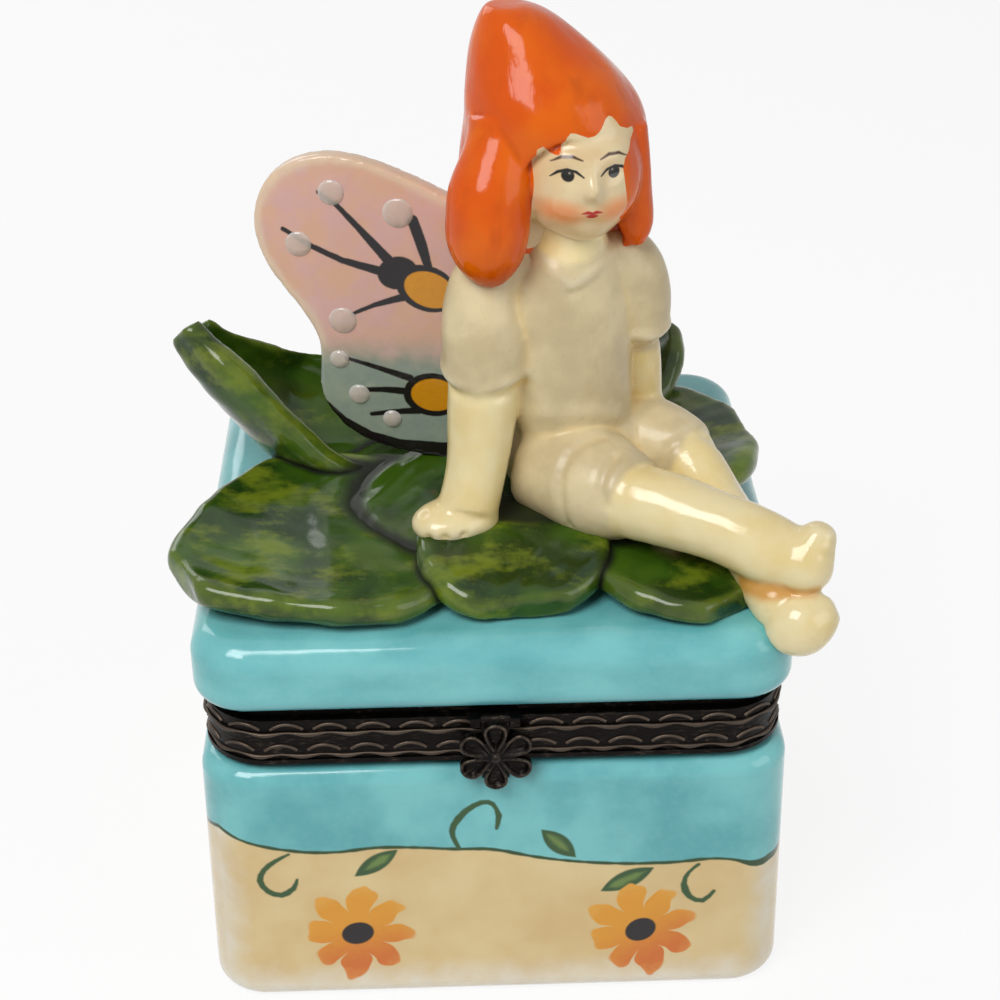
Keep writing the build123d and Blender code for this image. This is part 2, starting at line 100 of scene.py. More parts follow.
class Recipe:
    """One finish as a node tree, with places on the piece in millimetres."""

    def __init__(self, name: str) -> None:
        """Starts the finish with a shader and the piece's own coordinates.

        Args:
            name: The material's name.
        """
        self.material = bpy.data.materials.new(name)
        self.material.use_nodes = True
        self.tree = self.material.node_tree
        self.tree.nodes.clear()
        self.shader = self.node("ShaderNodeBsdfPrincipled")
        output = self.node("ShaderNodeOutputMaterial")
        self.tree.links.new(self.shader.outputs["BSDF"], output.inputs["Surface"])
        coordinates = self.node("ShaderNodeTexCoord")
        self.place = self.scaled(coordinates.outputs["Object"], 1 / MM)
        self.x, self.y, self.z = self.split(self.place)

    def node(self, kind: str) -> bpy.types.Node:
        """Adds a node of a kind."""
        return self.tree.nodes.new(kind)

    def feed(self, socket: Socket, value: object) -> None:
        """Sets a socket to a number, or links another socket to it."""
        if isinstance(value, bpy.types.NodeSocket):
            self.tree.links.new(value, socket)
        else:
            socket.default_value = value

    def calc(self, operation: str, *values: Value, clamp: bool = False) -> Socket:
        """A sum on numbers.

        Args:
            operation: The Math node's operation.
            values: Its one, two or three inputs.
            clamp: Whether the result is kept from 0 to 1.

        Returns:
            The result.
        """
        node = self.node("ShaderNodeMath")
        node.operation = operation
        node.use_clamp = clamp
        for socket, value in zip(node.inputs, values):
            self.feed(socket, value)
        return node.outputs[0]

    def times(self, first: Value, second: Value) -> Socket:
        """The first number times the second."""
        return self.calc("MULTIPLY", first, second)

    def times_plus(self, first: Value, second: Value, third: Value) -> Socket:
        """The first number times the second, plus the third."""
        return self.calc("MULTIPLY_ADD", first, second, third)

    def minus(self, first: Value, second: Value) -> Socket:
        """The first number less the second."""
        return self.calc("SUBTRACT", first, second)

    def vector(self, operation: str, *values: object) -> bpy.types.Node:
        """A vector sum's node, for either of its outputs."""
        node = self.node("ShaderNodeVectorMath")
        node.operation = operation
        for socket, value in zip(node.inputs, values):
            self.feed(socket, value)
        return node

    def scaled(self, vector: object, factor: Value) -> Socket:
        """A vector made longer or shorter."""
        node = self.vector("SCALE", vector)
        self.feed(node.inputs["Scale"], factor)
        return node.outputs[0]

    def split(self, vector: Socket) -> tuple[Socket, Socket, Socket]:
        """A vector's three numbers."""
        node = self.node("ShaderNodeSeparateXYZ")
        self.feed(node.inputs[0], vector)
        return tuple(node.outputs)

    def joined(self, x: Value, y: Value, z: Value = 0.0) -> Socket:
        """A vector of three numbers."""
        node = self.node("ShaderNodeCombineXYZ")
        for socket, value in zip(node.inputs, (x, y, z)):
            self.feed(socket, value)
        return node.outputs[0]

    def step(self, value: Value, low: float, high: float) -> Socket:
        """A smooth step: 0 up to low, 1 from high."""
        node = self.node("ShaderNodeMapRange")
        node.interpolation_type = "SMOOTHSTEP"
        self.feed(node.inputs["Value"], value)
        self.feed(node.inputs["From Min"], low)
        self.feed(node.inputs["From Max"], high)
        return node.outputs[0]

    def inside(self, distance: Value, soft: float = 0.08) -> Socket:
        """1 where a distance is below nought and 0 where it is above, with a soft edge."""
        return self.minus(1.0, self.step(distance, -soft, soft))

    def mix(self, share: Value, first: object, second: object) -> Socket:
        """Two colours mixed.

        Args:
            share: How much of the second colour there is.
            first: The first colour.
            second: The second colour.

        Returns:
            The mixed colour.
        """
        node = self.node("ShaderNodeMix")
        node.data_type = "RGBA"
        self.feed(node.inputs[0], share)
        self.feed(node.inputs[6], first)
        self.feed(node.inputs[7], second)
        return node.outputs[2]

    def noise(
        self,
        size: float,
        detail: float = 2.0,
        roughness: float = 0.5,
        stretch: Place = (1.0, 1.0, 1.0),
        place: Socket | None = None,
        shift: float = 0.0,
    ) -> Socket:
        """Cloudy variation.

        Args:
            size: How large its patches are, in millimetres.
            detail: How many finer layers it has.
            roughness: How strong the finer layers are.
            stretch: How much longer it is drawn along each axis.
            place: The point it is read at, or the piece's own.
            shift: Moves the pattern, for a different look.

        Returns:
            A number near 0.5, from 0 to 1.
        """
        node = self.node("ShaderNodeTexNoise")
        drawn = self.vector(
            "MULTIPLY_ADD",
            self.place if place is None else place,
            tuple(1 / (size * s) for s in stretch),
            (shift, shift * 0.7, shift * 1.3),
        )
        self.feed(node.inputs["Vector"], drawn.outputs[0])
        node.inputs["Scale"].default_value = 1.0
        node.inputs["Detail"].default_value = detail
        node.inputs["Roughness"].default_value = roughness
        return node.outputs[0]

    def painted(self, name: str) -> Socket:
        """A number that the piece's mesh holds for each point."""
        node = self.node("ShaderNodeAttribute")
        node.attribute_type = "GEOMETRY"
        node.attribute_name = name
        return node.outputs["Fac"]

    def turned(self, point: Socket, centre: Place, angle: float = 0.0, size: Place = (1, 1, 1)) -> Socket:
        """A point seen from a centre, turned about Z and measured in a size of its own."""
        node = self.node("ShaderNodeMapping")
        node.vector_type = "TEXTURE"
        self.feed(node.inputs["Vector"], point)
        node.inputs["Location"].default_value = centre
        node.inputs["Rotation"].default_value = (0.0, 0.0, angle)
        node.inputs["Scale"].default_value = size
        return node.outputs[0]

    def oval(self, point: Socket, centre: Spot, half: Spot, angle: float = 0.0) -> Socket:
        """How far a flat point lies outside an oval.

        Args:
            point: The point, with its third number nought.
            centre: The oval's centre.
            half: Its half length and half width.
            angle: The turn of its length from the first axis, in degrees.

        Returns:
            The distance, below nought inside.
        """
        local = self.turned(point, (*centre, 0.0), math.radians(angle), (*half, 1.0))
        length = self.vector("LENGTH", local).outputs["Value"]
        return self.times(self.minus(length, 1.0), min(half))

    def stroke(self, point: Socket, start: Spot, end: Spot, widths: Spot, belly: float = 0.0) -> Socket:
        """How far a flat point lies outside a tapering brush stroke.

        Args:
            point: The point, with its third number nought.
            start: Where the stroke starts.
            end: Where it ends.
            widths: Its width at the start and at the end.
            belly: How much wider it is halfway.

        Returns:
            The distance, below nought inside.
        """
        run = (end[0] - start[0], end[1] - start[1], 0.0)
        length = run[0] ** 2 + run[1] ** 2
        from_start = self.vector("SUBTRACT", point, (*start, 0.0)).outputs[0]
        along = self.vector("DOT_PRODUCT", from_start, run).outputs["Value"]
        share = self.calc("MULTIPLY", along, 1 / length, clamp=True)
        distance = self.vector("DISTANCE", from_start, self.scaled(run, share)).outputs["Value"]
        half = self.times_plus(share, (widths[1] - widths[0]) / 2, widths[0] / 2)
        if belly:
            hump = self.times(share, self.minus(1.0, share))
            half = self.times_plus(hump, 2 * belly, half)
        return self.minus(distance, half)

    def nearest(self, *distances: Socket) -> Socket:
        """The smallest of several distances."""
        result = distances[0]
        for distance in distances[1:]:
            result = self.calc("MINIMUM", result, distance)
        return result

    def line(self, point: Socket, corners: list[tuple[float, float, float]]) -> Socket:
        """How far a flat point lies outside a drawn line, given as places and widths."""
        strokes = [
            self.stroke(point, first[:2], second[:2], (first[2], second[2]))
            for first, second in zip(corners, corners[1:])
        ]
        return self.nearest(*strokes)

    def curl(self, point: Socket, corners: list[tuple[float, float, float]]) -> Socket:
        """How far a flat point lies outside a line rounded through its places."""
        spots = np.array([corners[0], *corners, corners[-1]])
        middles = (9 * (spots[1:-2] + spots[2:-1]) - spots[:-3] - spots[3:]) / 16
        rounded = [spots[1]]
        for middle, spot in zip(middles, spots[2:-1]):
            rounded += [middle, spot]
        return self.line(point, [tuple(float(n) for n in spot) for spot in rounded])

    def curve(self, value: Value, points: list[tuple[float, float]]) -> Socket:
        """A number read off a smooth drawn curve, with both axes from 0 to 1."""
        node = self.node("ShaderNodeFloatCurve")
        self.feed(node.inputs["Value"], value)
        line = node.mapping.curves[0]
        while len(line.points) < len(points):
            line.points.new(0.5, 0.5)
        for spot, (x, y) in zip(line.points, points):
            spot.location = (x, y)
            spot.handle_type = "AUTO"
        node.mapping.update()
        return node.outputs[0]

    def bump(self, height: Value) -> None:
        """Raises the surface by a height in millimetres, in shading only."""
        node = self.node("ShaderNodeBump")
        node.inputs["Strength"].default_value = 1.0
        node.inputs["Distance"].default_value = MM
        self.feed(node.inputs["Height"], height)
        self.feed(self.shader.inputs["Normal"], node.outputs[0])

    def finish(self, base: object, rough: Value, **fixed: float) -> bpy.types.Material:
        """Sets the shader.

        Args:
            base: The base colour.
            rough: The roughness.
            fixed: Other sockets by name, with underscores for spaces.

        Returns:
            The material.
        """
        self.feed(self.shader.inputs["Base Color"], base)
        self.feed(self.shader.inputs["Roughness"], rough)
        for name, value in fixed.items():
            self.shader.inputs[name.replace("_", " ")].default_value = value
        return self.material


@dataclass(frozen=True)
class BoxPaint:
    """The lower box's painting: aqua over cream, parted by a vine, with daisies on each side."""

    aqua: str = "74C3C6"
    aqua_deep: str = "4FA4AB"
    cream: str = "DFC894"
    white: str = "E6E3D8"
    vine: str = "26461F"
    leaf: str = "2E5228"
    leaf_light: str = "7F9A4A"
    petal: str = "DE9826"
    petal_deep: str = "D26E24"
    eye: str = "14090B"
    half: float = 26.0
    well_half: float = 22.9
    well_floor: float = 3.2
    vine_heights: tuple = (
        (-26.0, 19.9), (-22.2, 18.4), (-17.8, 17.3), (-14.9, 17.1), (-10.4, 17.5), (-7.4, 17.4),
        (-3.6, 17.1), (-0.6, 17.0), (3.0, 16.1), (6.0, 15.5), (10.5, 15.0), (15.0, 14.9),
        (21.0, 15.1), (24.1, 14.1), (26.0, 14.6),
    )
    tendrils: tuple = (
        ((-3.3, 17.1, 0.3), (-3.9, 18.5, 0.45), (-3.8, 19.8, 0.55), (-2.7, 21.3, 0.6), (-1.3, 22.2, 0.5),
         (-0.3, 22.0, 0.4), (0.2, 20.7, 0.55), (0.0, 19.3, 0.3)),
        ((-18.6, 17.0, 0.3), (-19.8, 16.3, 0.4), (-20.9, 15.3, 0.5), (-21.3, 14.1, 0.55), (-20.7, 12.9, 0.5),
         (-19.5, 12.4, 0.5), (-18.4, 13.1, 0.55), (-18.0, 14.1, 0.3)),
        ((18.2, 14.6, 0.3), (17.3, 13.7, 0.4), (16.9, 12.4, 0.55), (17.5, 10.9, 0.55), (18.7, 10.4, 0.5),
         (19.7, 11.5, 0.35)),
    )
    brush_leaves: tuple = (
        ((-9.0, 17.1), (-12.7, 14.4), 1.5),
        ((4.1, 18.9), (7.0, 15.9), 1.7),
        ((14.0, 14.3), (9.5, 11.9), 1.7),
    )
    daisies: tuple = (((-12.8, 7.7), 0.2), ((13.1, 7.2), 0.55))

    def material(self) -> bpy.types.Material:
        """The painted glaze over the whole box."""
        recipe = Recipe("box_paint")
        point, across = self.side_point(recipe)
        height = self.vine_height(recipe, across)
        wobble = recipe.noise(2.2, 2.0)
        soft = recipe.noise(7.0, 3.0, shift=3.0)
        fine = recipe.noise(0.6, 3.0, 0.7, shift=9.0)
        aqua = recipe.mix(recipe.step(soft, 0.35, 0.7), colour(self.aqua), colour(self.aqua_deep))
        aqua = recipe.mix(recipe.times(fine, 0.22), aqua, colour("9ED3CC"))
        cream = recipe.mix(recipe.step(soft, 0.3, 0.75), colour(self.cream), colour("D4B67F"))
        low = recipe.step(recipe.times_plus(wobble, -3.0, recipe.z), 3.4, -1.4)
        edge = recipe.times_plus(wobble, 3.0, recipe.calc("ABSOLUTE", across))
        ends = recipe.step(edge, 23.5, 28.4)
        worn = recipe.calc("MAXIMUM", low, ends)
        cream = recipe.mix(recipe.times(worn, 0.85), cream, colour(self.white))
        below = recipe.minus(recipe.z, height)
        surface = recipe.mix(recipe.inside(below, 0.15), aqua, cream)
        surface = self.add_vine(recipe, surface, below, across, wobble)
        surface = self.add_strokes(recipe, surface, point, wobble)
        surface = self.add_daisies(recipe, surface, point)
        return self.close_up(recipe, surface, soft, fine)

    def side_point(self, recipe: Recipe) -> tuple[Socket, Socket]:
        """The flat place on whichever side a point is on, and how far across that side it lies."""
        wide, deep = (recipe.calc("ABSOLUTE", axis) for axis in (recipe.x, recipe.y))
        sideways = recipe.calc("GREATER_THAN", wide, deep)
        front = recipe.times(recipe.x, recipe.calc("SIGN", recipe.y))
        side = recipe.times(recipe.y, recipe.calc("SIGN", recipe.x))
        spread = recipe.minus(side, front)
        across = recipe.times(recipe.times_plus(sideways, spread, front), -1.0)
        return recipe.joined(across, recipe.z), across

    def vine_height(self, recipe: Recipe, across: Socket) -> Socket:
        """How high the vine runs at a place across a side."""
        span = 2 * self.half
        share = recipe.times_plus(across, 1 / span, 0.5)
        points = [((x + self.half) / span, z / span) for x, z in self.vine_heights]
        return recipe.times(recipe.curve(share, points), span)

    def add_vine(
        self, recipe: Recipe, surface: Socket, below: Socket, across: Socket, wobble: Socket
    ) -> Socket:
        """Paints the vine along the boundary, heavier at one end."""
        heavy = recipe.times(recipe.step(across, 21.5, 24.5), 0.25)
        width = recipe.calc("ADD", recipe.times_plus(wobble, 0.3, 0.02), heavy)
        distance = recipe.minus(recipe.calc("ABSOLUTE", below), width)
        return recipe.mix(recipe.inside(distance, 0.09), surface, colour(self.vine))

    def add_strokes(self, recipe: Recipe, surface: Socket, point: Socket, wobble: Socket) -> Socket:
        """Paints the tendrils and the brush leaves."""
        curls = recipe.nearest(*[recipe.curl(point, list(tendril)) for tendril in self.tendrils])
        ragged = recipe.times_plus(wobble, -0.35, curls)
        ragged = recipe.calc("ADD", ragged, 0.17)
        surface = recipe.mix(recipe.inside(ragged, 0.1), surface, colour(self.leaf))
        blades = recipe.nearest(
            *[recipe.stroke(point, start, end, (0.25, 0.2), width) for start, end, width in self.brush_leaves]
        )
        surface = recipe.mix(recipe.inside(blades, 0.12), surface, colour(self.leaf))
        middle = recipe.step(recipe.times_plus(wobble, 0.9, blades), 0.15, -0.35)
        return recipe.mix(recipe.times(middle, 0.6), surface, colour(self.leaf_light))

    def add_daisies(self, recipe: Recipe, surface: Socket, point: Socket) -> Socket:
        """Paints a daisy on each half of a side, both read from one drawing."""
        (left, left_turn), (right, right_turn) = self.daisies
        one = recipe.turned(point, (*left, 0.0), left_turn)
        other = recipe.turned(point, (*right, 0.0), right_turn)
        across = recipe.split(point)[0]
        node = recipe.node("ShaderNodeMix")
        node.data_type = "VECTOR"
        recipe.feed(node.inputs[0], recipe.calc("GREATER_THAN", across, 0.0))
        recipe.feed(node.inputs[4], one)
        recipe.feed(node.inputs[5], other)
        local = node.outputs[1]
        x, y, _ = recipe.split(local)
        reach = recipe.vector("LENGTH", local).outputs["Value"]
        angle = recipe.calc("ARCTAN2", y, x)
        uneven = recipe.noise(2.4, 1.0, place=local, shift=4.0)
        bent = recipe.times_plus(uneven, 0.5, angle)
        lobe = recipe.calc("ABSOLUTE", recipe.calc("COSINE", recipe.times(bent, 4.0)))
        lobe = recipe.calc("POWER", lobe, 0.55)
        tip = recipe.times_plus(uneven, 3.0, 3.9)
        edge = recipe.times_plus(lobe, recipe.minus(tip, 2.6), 2.3)
        petals = recipe.minus(reach, edge)
        grain = recipe.noise(0.7, 3.0, 0.7, place=local, shift=6.0)
        fall = recipe.times_plus(grain, 2.0, recipe.times(y, -0.9))
        deep = recipe.step(fall, -0.6, 4.6)
        paint = recipe.mix(deep, colour(self.petal), colour(self.petal_deep))
        outer = recipe.times_plus(grain, 2.4, recipe.minus(reach, 4.6))
        pale = recipe.step(outer, 0.4, 2.0)
        paint = recipe.mix(recipe.times(pale, 0.25), paint, colour("E8BC62"))
        surface = recipe.mix(recipe.inside(petals, 0.16), surface, paint)
        eye = recipe.oval(local, (0.0, 0.0), (1.5, 1.25), 8.0)
        return recipe.mix(recipe.inside(eye, 0.1), surface, colour(self.eye))

    def close_up(self, recipe: Recipe, surface: Socket, soft: Socket, fine: Socket) -> bpy.types.Material:
        """Adds the white well and foot, the glaze's unevenness and its gloss."""
        widest = recipe.calc("MAXIMUM", recipe.calc("ABSOLUTE", recipe.x), recipe.calc("ABSOLUTE", recipe.y))
        within = recipe.calc("LESS_THAN", widest, self.well_half)
        above = recipe.calc("GREATER_THAN", recipe.z, self.well_floor)
        white = recipe.mix(recipe.step(soft, 0.3, 0.8), colour("E9E8E0"), colour("DAD8CC"))
        surface = recipe.mix(recipe.times(within, above), surface, white)
        foot = recipe.calc("LESS_THAN", recipe.z, 0.25)
        surface = recipe.mix(foot, surface, colour("DCD7CA"))
        rough = recipe.times_plus(foot, 0.5, recipe.times_plus(fine, 0.1, 0.08))
        pitted = recipe.times(fine, 0.006)
        recipe.bump(recipe.times_plus(recipe.noise(9.0, 1.0, shift=5.0), 0.35, pitted))
        return recipe.finish(surface, rough, Coat_Weight=0.2, Coat_Roughness=0.04, Specular_IOR_Level=0.4)


@dataclass(frozen=True)
class LidGlaze:
    """Aqua glaze outside the lid and white inside its hollow."""

    aqua: str = "73C4C7"
    aqua_deep: str = "4CA4AB"
    half: float = 22.9
    ceiling: float = 36.5

    def material(self) -> bpy.types.Material:
        """The lid's glaze."""
        recipe = Recipe("lid_glaze")
        soft = recipe.noise(8.0, 3.0, stretch=(1.4, 1.4, 0.7), shift=2.0)
        fine = recipe.noise(0.6, 3.0, 0.7, shift=7.0)
        surface = recipe.mix(recipe.step(soft, 0.32, 0.72), colour(self.aqua), colour(self.aqua_deep))
        surface = recipe.mix(recipe.times(fine, 0.25), surface, colour("A4D6CF"))
        low = recipe.step(recipe.z, 34.4, 32.2)
        surface = recipe.mix(recipe.times(low, 0.35), surface, colour("4E8FA0"))
        widest = recipe.calc("MAXIMUM", recipe.calc("ABSOLUTE", recipe.x), recipe.calc("ABSOLUTE", recipe.y))
        within = recipe.calc("LESS_THAN", widest, self.half)
        below = recipe.calc("LESS_THAN", recipe.z, self.ceiling)
        white = recipe.mix(recipe.step(soft, 0.3, 0.8), colour("E9E8E0"), colour("DAD8CC"))
        surface = recipe.mix(recipe.times(within, below), surface, white)
        pitted = recipe.times(fine, 0.006)
        recipe.bump(recipe.times_plus(recipe.noise(9.0, 1.0, shift=8.0), 0.4, pitted))
        rough = recipe.times_plus(fine, 0.1, 0.08)
        return recipe.finish(surface, rough, Coat_Weight=0.2, Coat_Roughness=0.04, Specular_IOR_Level=0.4)


@dataclass(frozen=True)
class LeafGlaze:
    """Thick green glaze: dark where it pools in hollows, olive in patches and paler along the rims, and near
    black as painted shade where a leaf comes close to the other leaves and the mound.
    """

    name: str = "leaf_glaze"
    shift: float = 0.0
    # Near black, used only for the painted shade where a leaf comes close to other parts.
    black: str = "050B03"
    deep: str = "1A350A"
    green: str = "3A5A0F"
    olive: str = "7D8C1E"
    rim: str = "66781F"

    def material(self) -> bpy.types.Material:
        """The leaves' glaze."""
        recipe = Recipe(self.name)
        broad = recipe.noise(7.0, 2.0, 0.5, shift=self.shift)
        patches = recipe.noise(4.0, 3.0, 0.6, (1.6, 1.0, 1.0), shift=self.shift + 2.0)
        specks = recipe.noise(0.5, 4.0, 0.75, shift=self.shift + 5.0)
        hollow = recipe.painted("hollow")
        surface = recipe.mix(recipe.step(broad, 0.36, 0.62), colour(self.deep), colour(self.green))
        olive = recipe.step(recipe.times_plus(specks, 0.2, patches), 0.56, 0.76)
        surface = recipe.mix(recipe.times(olive, 0.62), surface, colour(self.olive))
        mottled = recipe.times(recipe.step(specks, 0.5, 0.72), 0.25)
        surface = recipe.mix(mottled, surface, colour("3F5A20"))
        raised = recipe.times_plus(patches, 0.6, recipe.times(hollow, -1.0))
        proud = recipe.step(raised, 0.55, 1.25)
        surface = recipe.mix(recipe.times(proud, 0.6), surface, colour(self.rim))
        pooled = recipe.times(recipe.step(hollow, 0.1, 0.8), 0.5)
        surface = recipe.mix(pooled, surface, colour(self.deep))
        # Painted shade: near black where the leaf comes close to the other leaves and the mound, and rougher
        # there.
        painted_shade = recipe.step(recipe.painted("painted_shade"), 0.1, 0.75)
        surface = recipe.mix(recipe.times(painted_shade, 0.96), surface, colour(self.black))
        recipe.bump(recipe.times_plus(specks, 0.01, recipe.times(broad, 0.3)))
        rough = recipe.times_plus(painted_shade, 0.5, recipe.times_plus(patches, 0.1, 0.06))
        return recipe.finish(surface, rough, Coat_Weight=0.1, Coat_Roughness=0.03, Specular_IOR_Level=0.35)


@dataclass(frozen=True)
class FigureGlaze:
    """Ivory porcelain: greyer and duller on the clothes, yellower and glossier on the skin."""

    cloth: str = "DBCAA0"
    cloth_grey: str = "C4B28A"
    skin: str = "E9D9A8"
    skin_deep: str = "DDB766"
    amber: str = "C88A2E"

    def material(self) -> bpy.types.Material:
        """The figure's glaze."""
        recipe = Recipe("figure_glaze")
        clothed = recipe.painted("cloth")
        hollow = recipe.painted("hollow")
        soft = recipe.noise(4.5, 3.0, shift=1.0)
        fine = recipe.noise(0.45, 3.0, 0.75, shift=4.0)
        cloth = recipe.mix(recipe.step(soft, 0.3, 0.7), colour(self.cloth), colour(self.cloth_grey))
        cloth = recipe.mix(recipe.times(recipe.step(fine, 0.56, 0.8), 0.35), cloth, colour("A39878"))
        skin = recipe.mix(recipe.step(soft, 0.35, 0.75), colour(self.skin), colour("E2CB8C"))
        surface = recipe.mix(clothed, skin, cloth)
        pooled = recipe.step(hollow, 0.08, 0.8)
        surface = recipe.mix(recipe.times(pooled, 0.55), surface, colour(self.skin_deep))
        thin = recipe.step(recipe.times(hollow, -1.0), 0.25, 0.9)
        surface = recipe.mix(recipe.times(thin, 0.45), surface, colour("EFE9D6"))
        amber = recipe.step(recipe.times_plus(soft, 0.4, recipe.painted("amber")), 0.45, 1.15)
        surface = recipe.mix(recipe.times(amber, 0.85), surface, colour(self.amber))
        recipe.bump(recipe.times_plus(fine, 0.012, recipe.times(soft, 0.12)))
        rough = recipe.times_plus(clothed, 0.24, recipe.times_plus(soft, 0.1, 0.1))
        return recipe.finish(surface, rough, Coat_Weight=0.15, Coat_Roughness=0.05, Specular_IOR_Level=0.4)


@dataclass(frozen=True)
class FacePaint:
    """A doll's painted face on ivory porcelain, with a calm look."""

    centre: Place = (8.0, -7.4, 73.2)
    heading: float = 9.0
    skin: str = "E2CDA2"
    brow: tuple = ((0.75, 3.25, 0.12), (1.5, 3.55, 0.24), (2.4, 3.5, 0.22), (3.2, 3.05, 0.08))
    lash: tuple = ((0.75, 1.95, 0.14), (1.3, 2.35, 0.26), (2.0, 2.5, 0.3), (2.7, 2.3, 0.26), (3.3, 1.9, 0.1))
    upper_lip: tuple = (
        (-0.85, -1.2, 0.1), (-0.35, -1.1, 0.32), (0.0, -1.2, 0.26), (0.35, -1.1, 0.32), (0.85, -1.2, 0.1),
    )

    def material(self) -> bpy.types.Material:
        """The face's glaze and painting."""
        recipe = Recipe("face_paint")
        local = recipe.turned(recipe.place, self.centre, math.radians(self.heading))
        x, _, z = recipe.split(local)
        point = recipe.joined(x, z)
        soft = recipe.noise(3.0, 3.0, shift=2.0)
        hollow = recipe.painted("hollow")
        surface = recipe.mix(recipe.step(soft, 0.3, 0.75), colour(self.skin), colour("D8BB8C"))
        pooled = recipe.times(recipe.step(hollow, 0.05, 0.7), 0.6)
        surface = recipe.mix(pooled, surface, colour("C49A62"))
        for side in (-1.0, 1.0):
            blush = recipe.step(recipe.oval(point, (side * 2.3, -1.2), (2.0, 1.25), side * 10), 0.5, -1.0)
            surface = recipe.mix(recipe.times(blush, 0.75), surface, colour("EA8236"))
        surface = self.draw_features(recipe, surface, point)
        recipe.bump(recipe.times(soft, 0.06))
        rough = recipe.times_plus(soft, 0.1, 0.12)
        return recipe.finish(surface, rough, Coat_Weight=0.15, Coat_Roughness=0.05, Specular_IOR_Level=0.4)

    def draw_features(self, recipe: Recipe, surface: Socket, point: Socket) -> Socket:
        """Paints the brows, eyes and lips, the same on both sides."""
        x, z, _ = recipe.split(point)
        folded = recipe.joined(recipe.calc("ABSOLUTE", x), z)
        brow = recipe.line(folded, list(self.brow))
        surface = recipe.mix(recipe.inside(brow, 0.07), surface, colour("4A2A18"))
        lash = recipe.line(folded, list(self.lash))
        eye = recipe.oval(folded, (1.95, 2.02), (0.52, 0.5))
        surface = recipe.mix(recipe.inside(recipe.nearest(lash, eye), 0.06), surface, colour("0C0806"))
        glint = recipe.oval(folded, (1.8, 2.22), (0.1, 0.1))
        surface = recipe.mix(recipe.inside(glint, 0.05), surface, colour("8A8478"))
        upper = recipe.line(point, list(self.upper_lip))
        lower = recipe.oval(point, (0.0, -1.45), (0.5, 0.2))
        return recipe.mix(recipe.inside(recipe.nearest(upper, lower), 0.06), surface, colour("B3201A"))


@dataclass(frozen=True)
class HairGlaze:
    """Orange glaze that pools red-brown in the hollows and at the ends of the locks."""

    orange: str = "D95402"
    bright: str = "E26604"
    deep: str = "9C2E02"

    def material(self) -> bpy.types.Material:
        """The hair's glaze."""
        recipe = Recipe("hair_glaze")
        hollow = recipe.painted("hollow")
        strands = recipe.noise(2.2, 4.0, 0.6, (1.0, 1.0, 4.0), shift=3.0)
        soft = recipe.noise(5.0, 2.0, shift=6.0)
        surface = recipe.mix(recipe.step(soft, 0.35, 0.72), colour(self.orange), colour(self.bright))
        streaks = recipe.times(recipe.step(strands, 0.5, 0.26), 0.55)
        surface = recipe.mix(streaks, surface, colour("C24E08"))
        low = recipe.step(recipe.times_plus(strands, 3.0, recipe.z), 69.6, 66.4)
        fringe = recipe.step(recipe.painted("fringe"), 0.1, 1.0)
        dark = recipe.calc("MAXIMUM", recipe.times(low, 0.6), recipe.times(fringe, 0.5))
        dark = recipe.calc("MAXIMUM", dark, recipe.times(recipe.step(hollow, 0.05, 0.6), 0.75))
        surface = recipe.mix(dark, surface, colour(self.deep))
        thin = recipe.step(recipe.times(hollow, -1.0), 0.3, 0.95)
        surface = recipe.mix(recipe.times(thin, 0.15), surface, colour("E98A44"))
        recipe.bump(recipe.times_plus(strands, 0.1, recipe.times(soft, 0.15)))
        rough = recipe.times_plus(soft, 0.1, 0.07)
        return recipe.finish(surface, rough, Coat_Weight=0.0, Specular_IOR_Level=0.22)


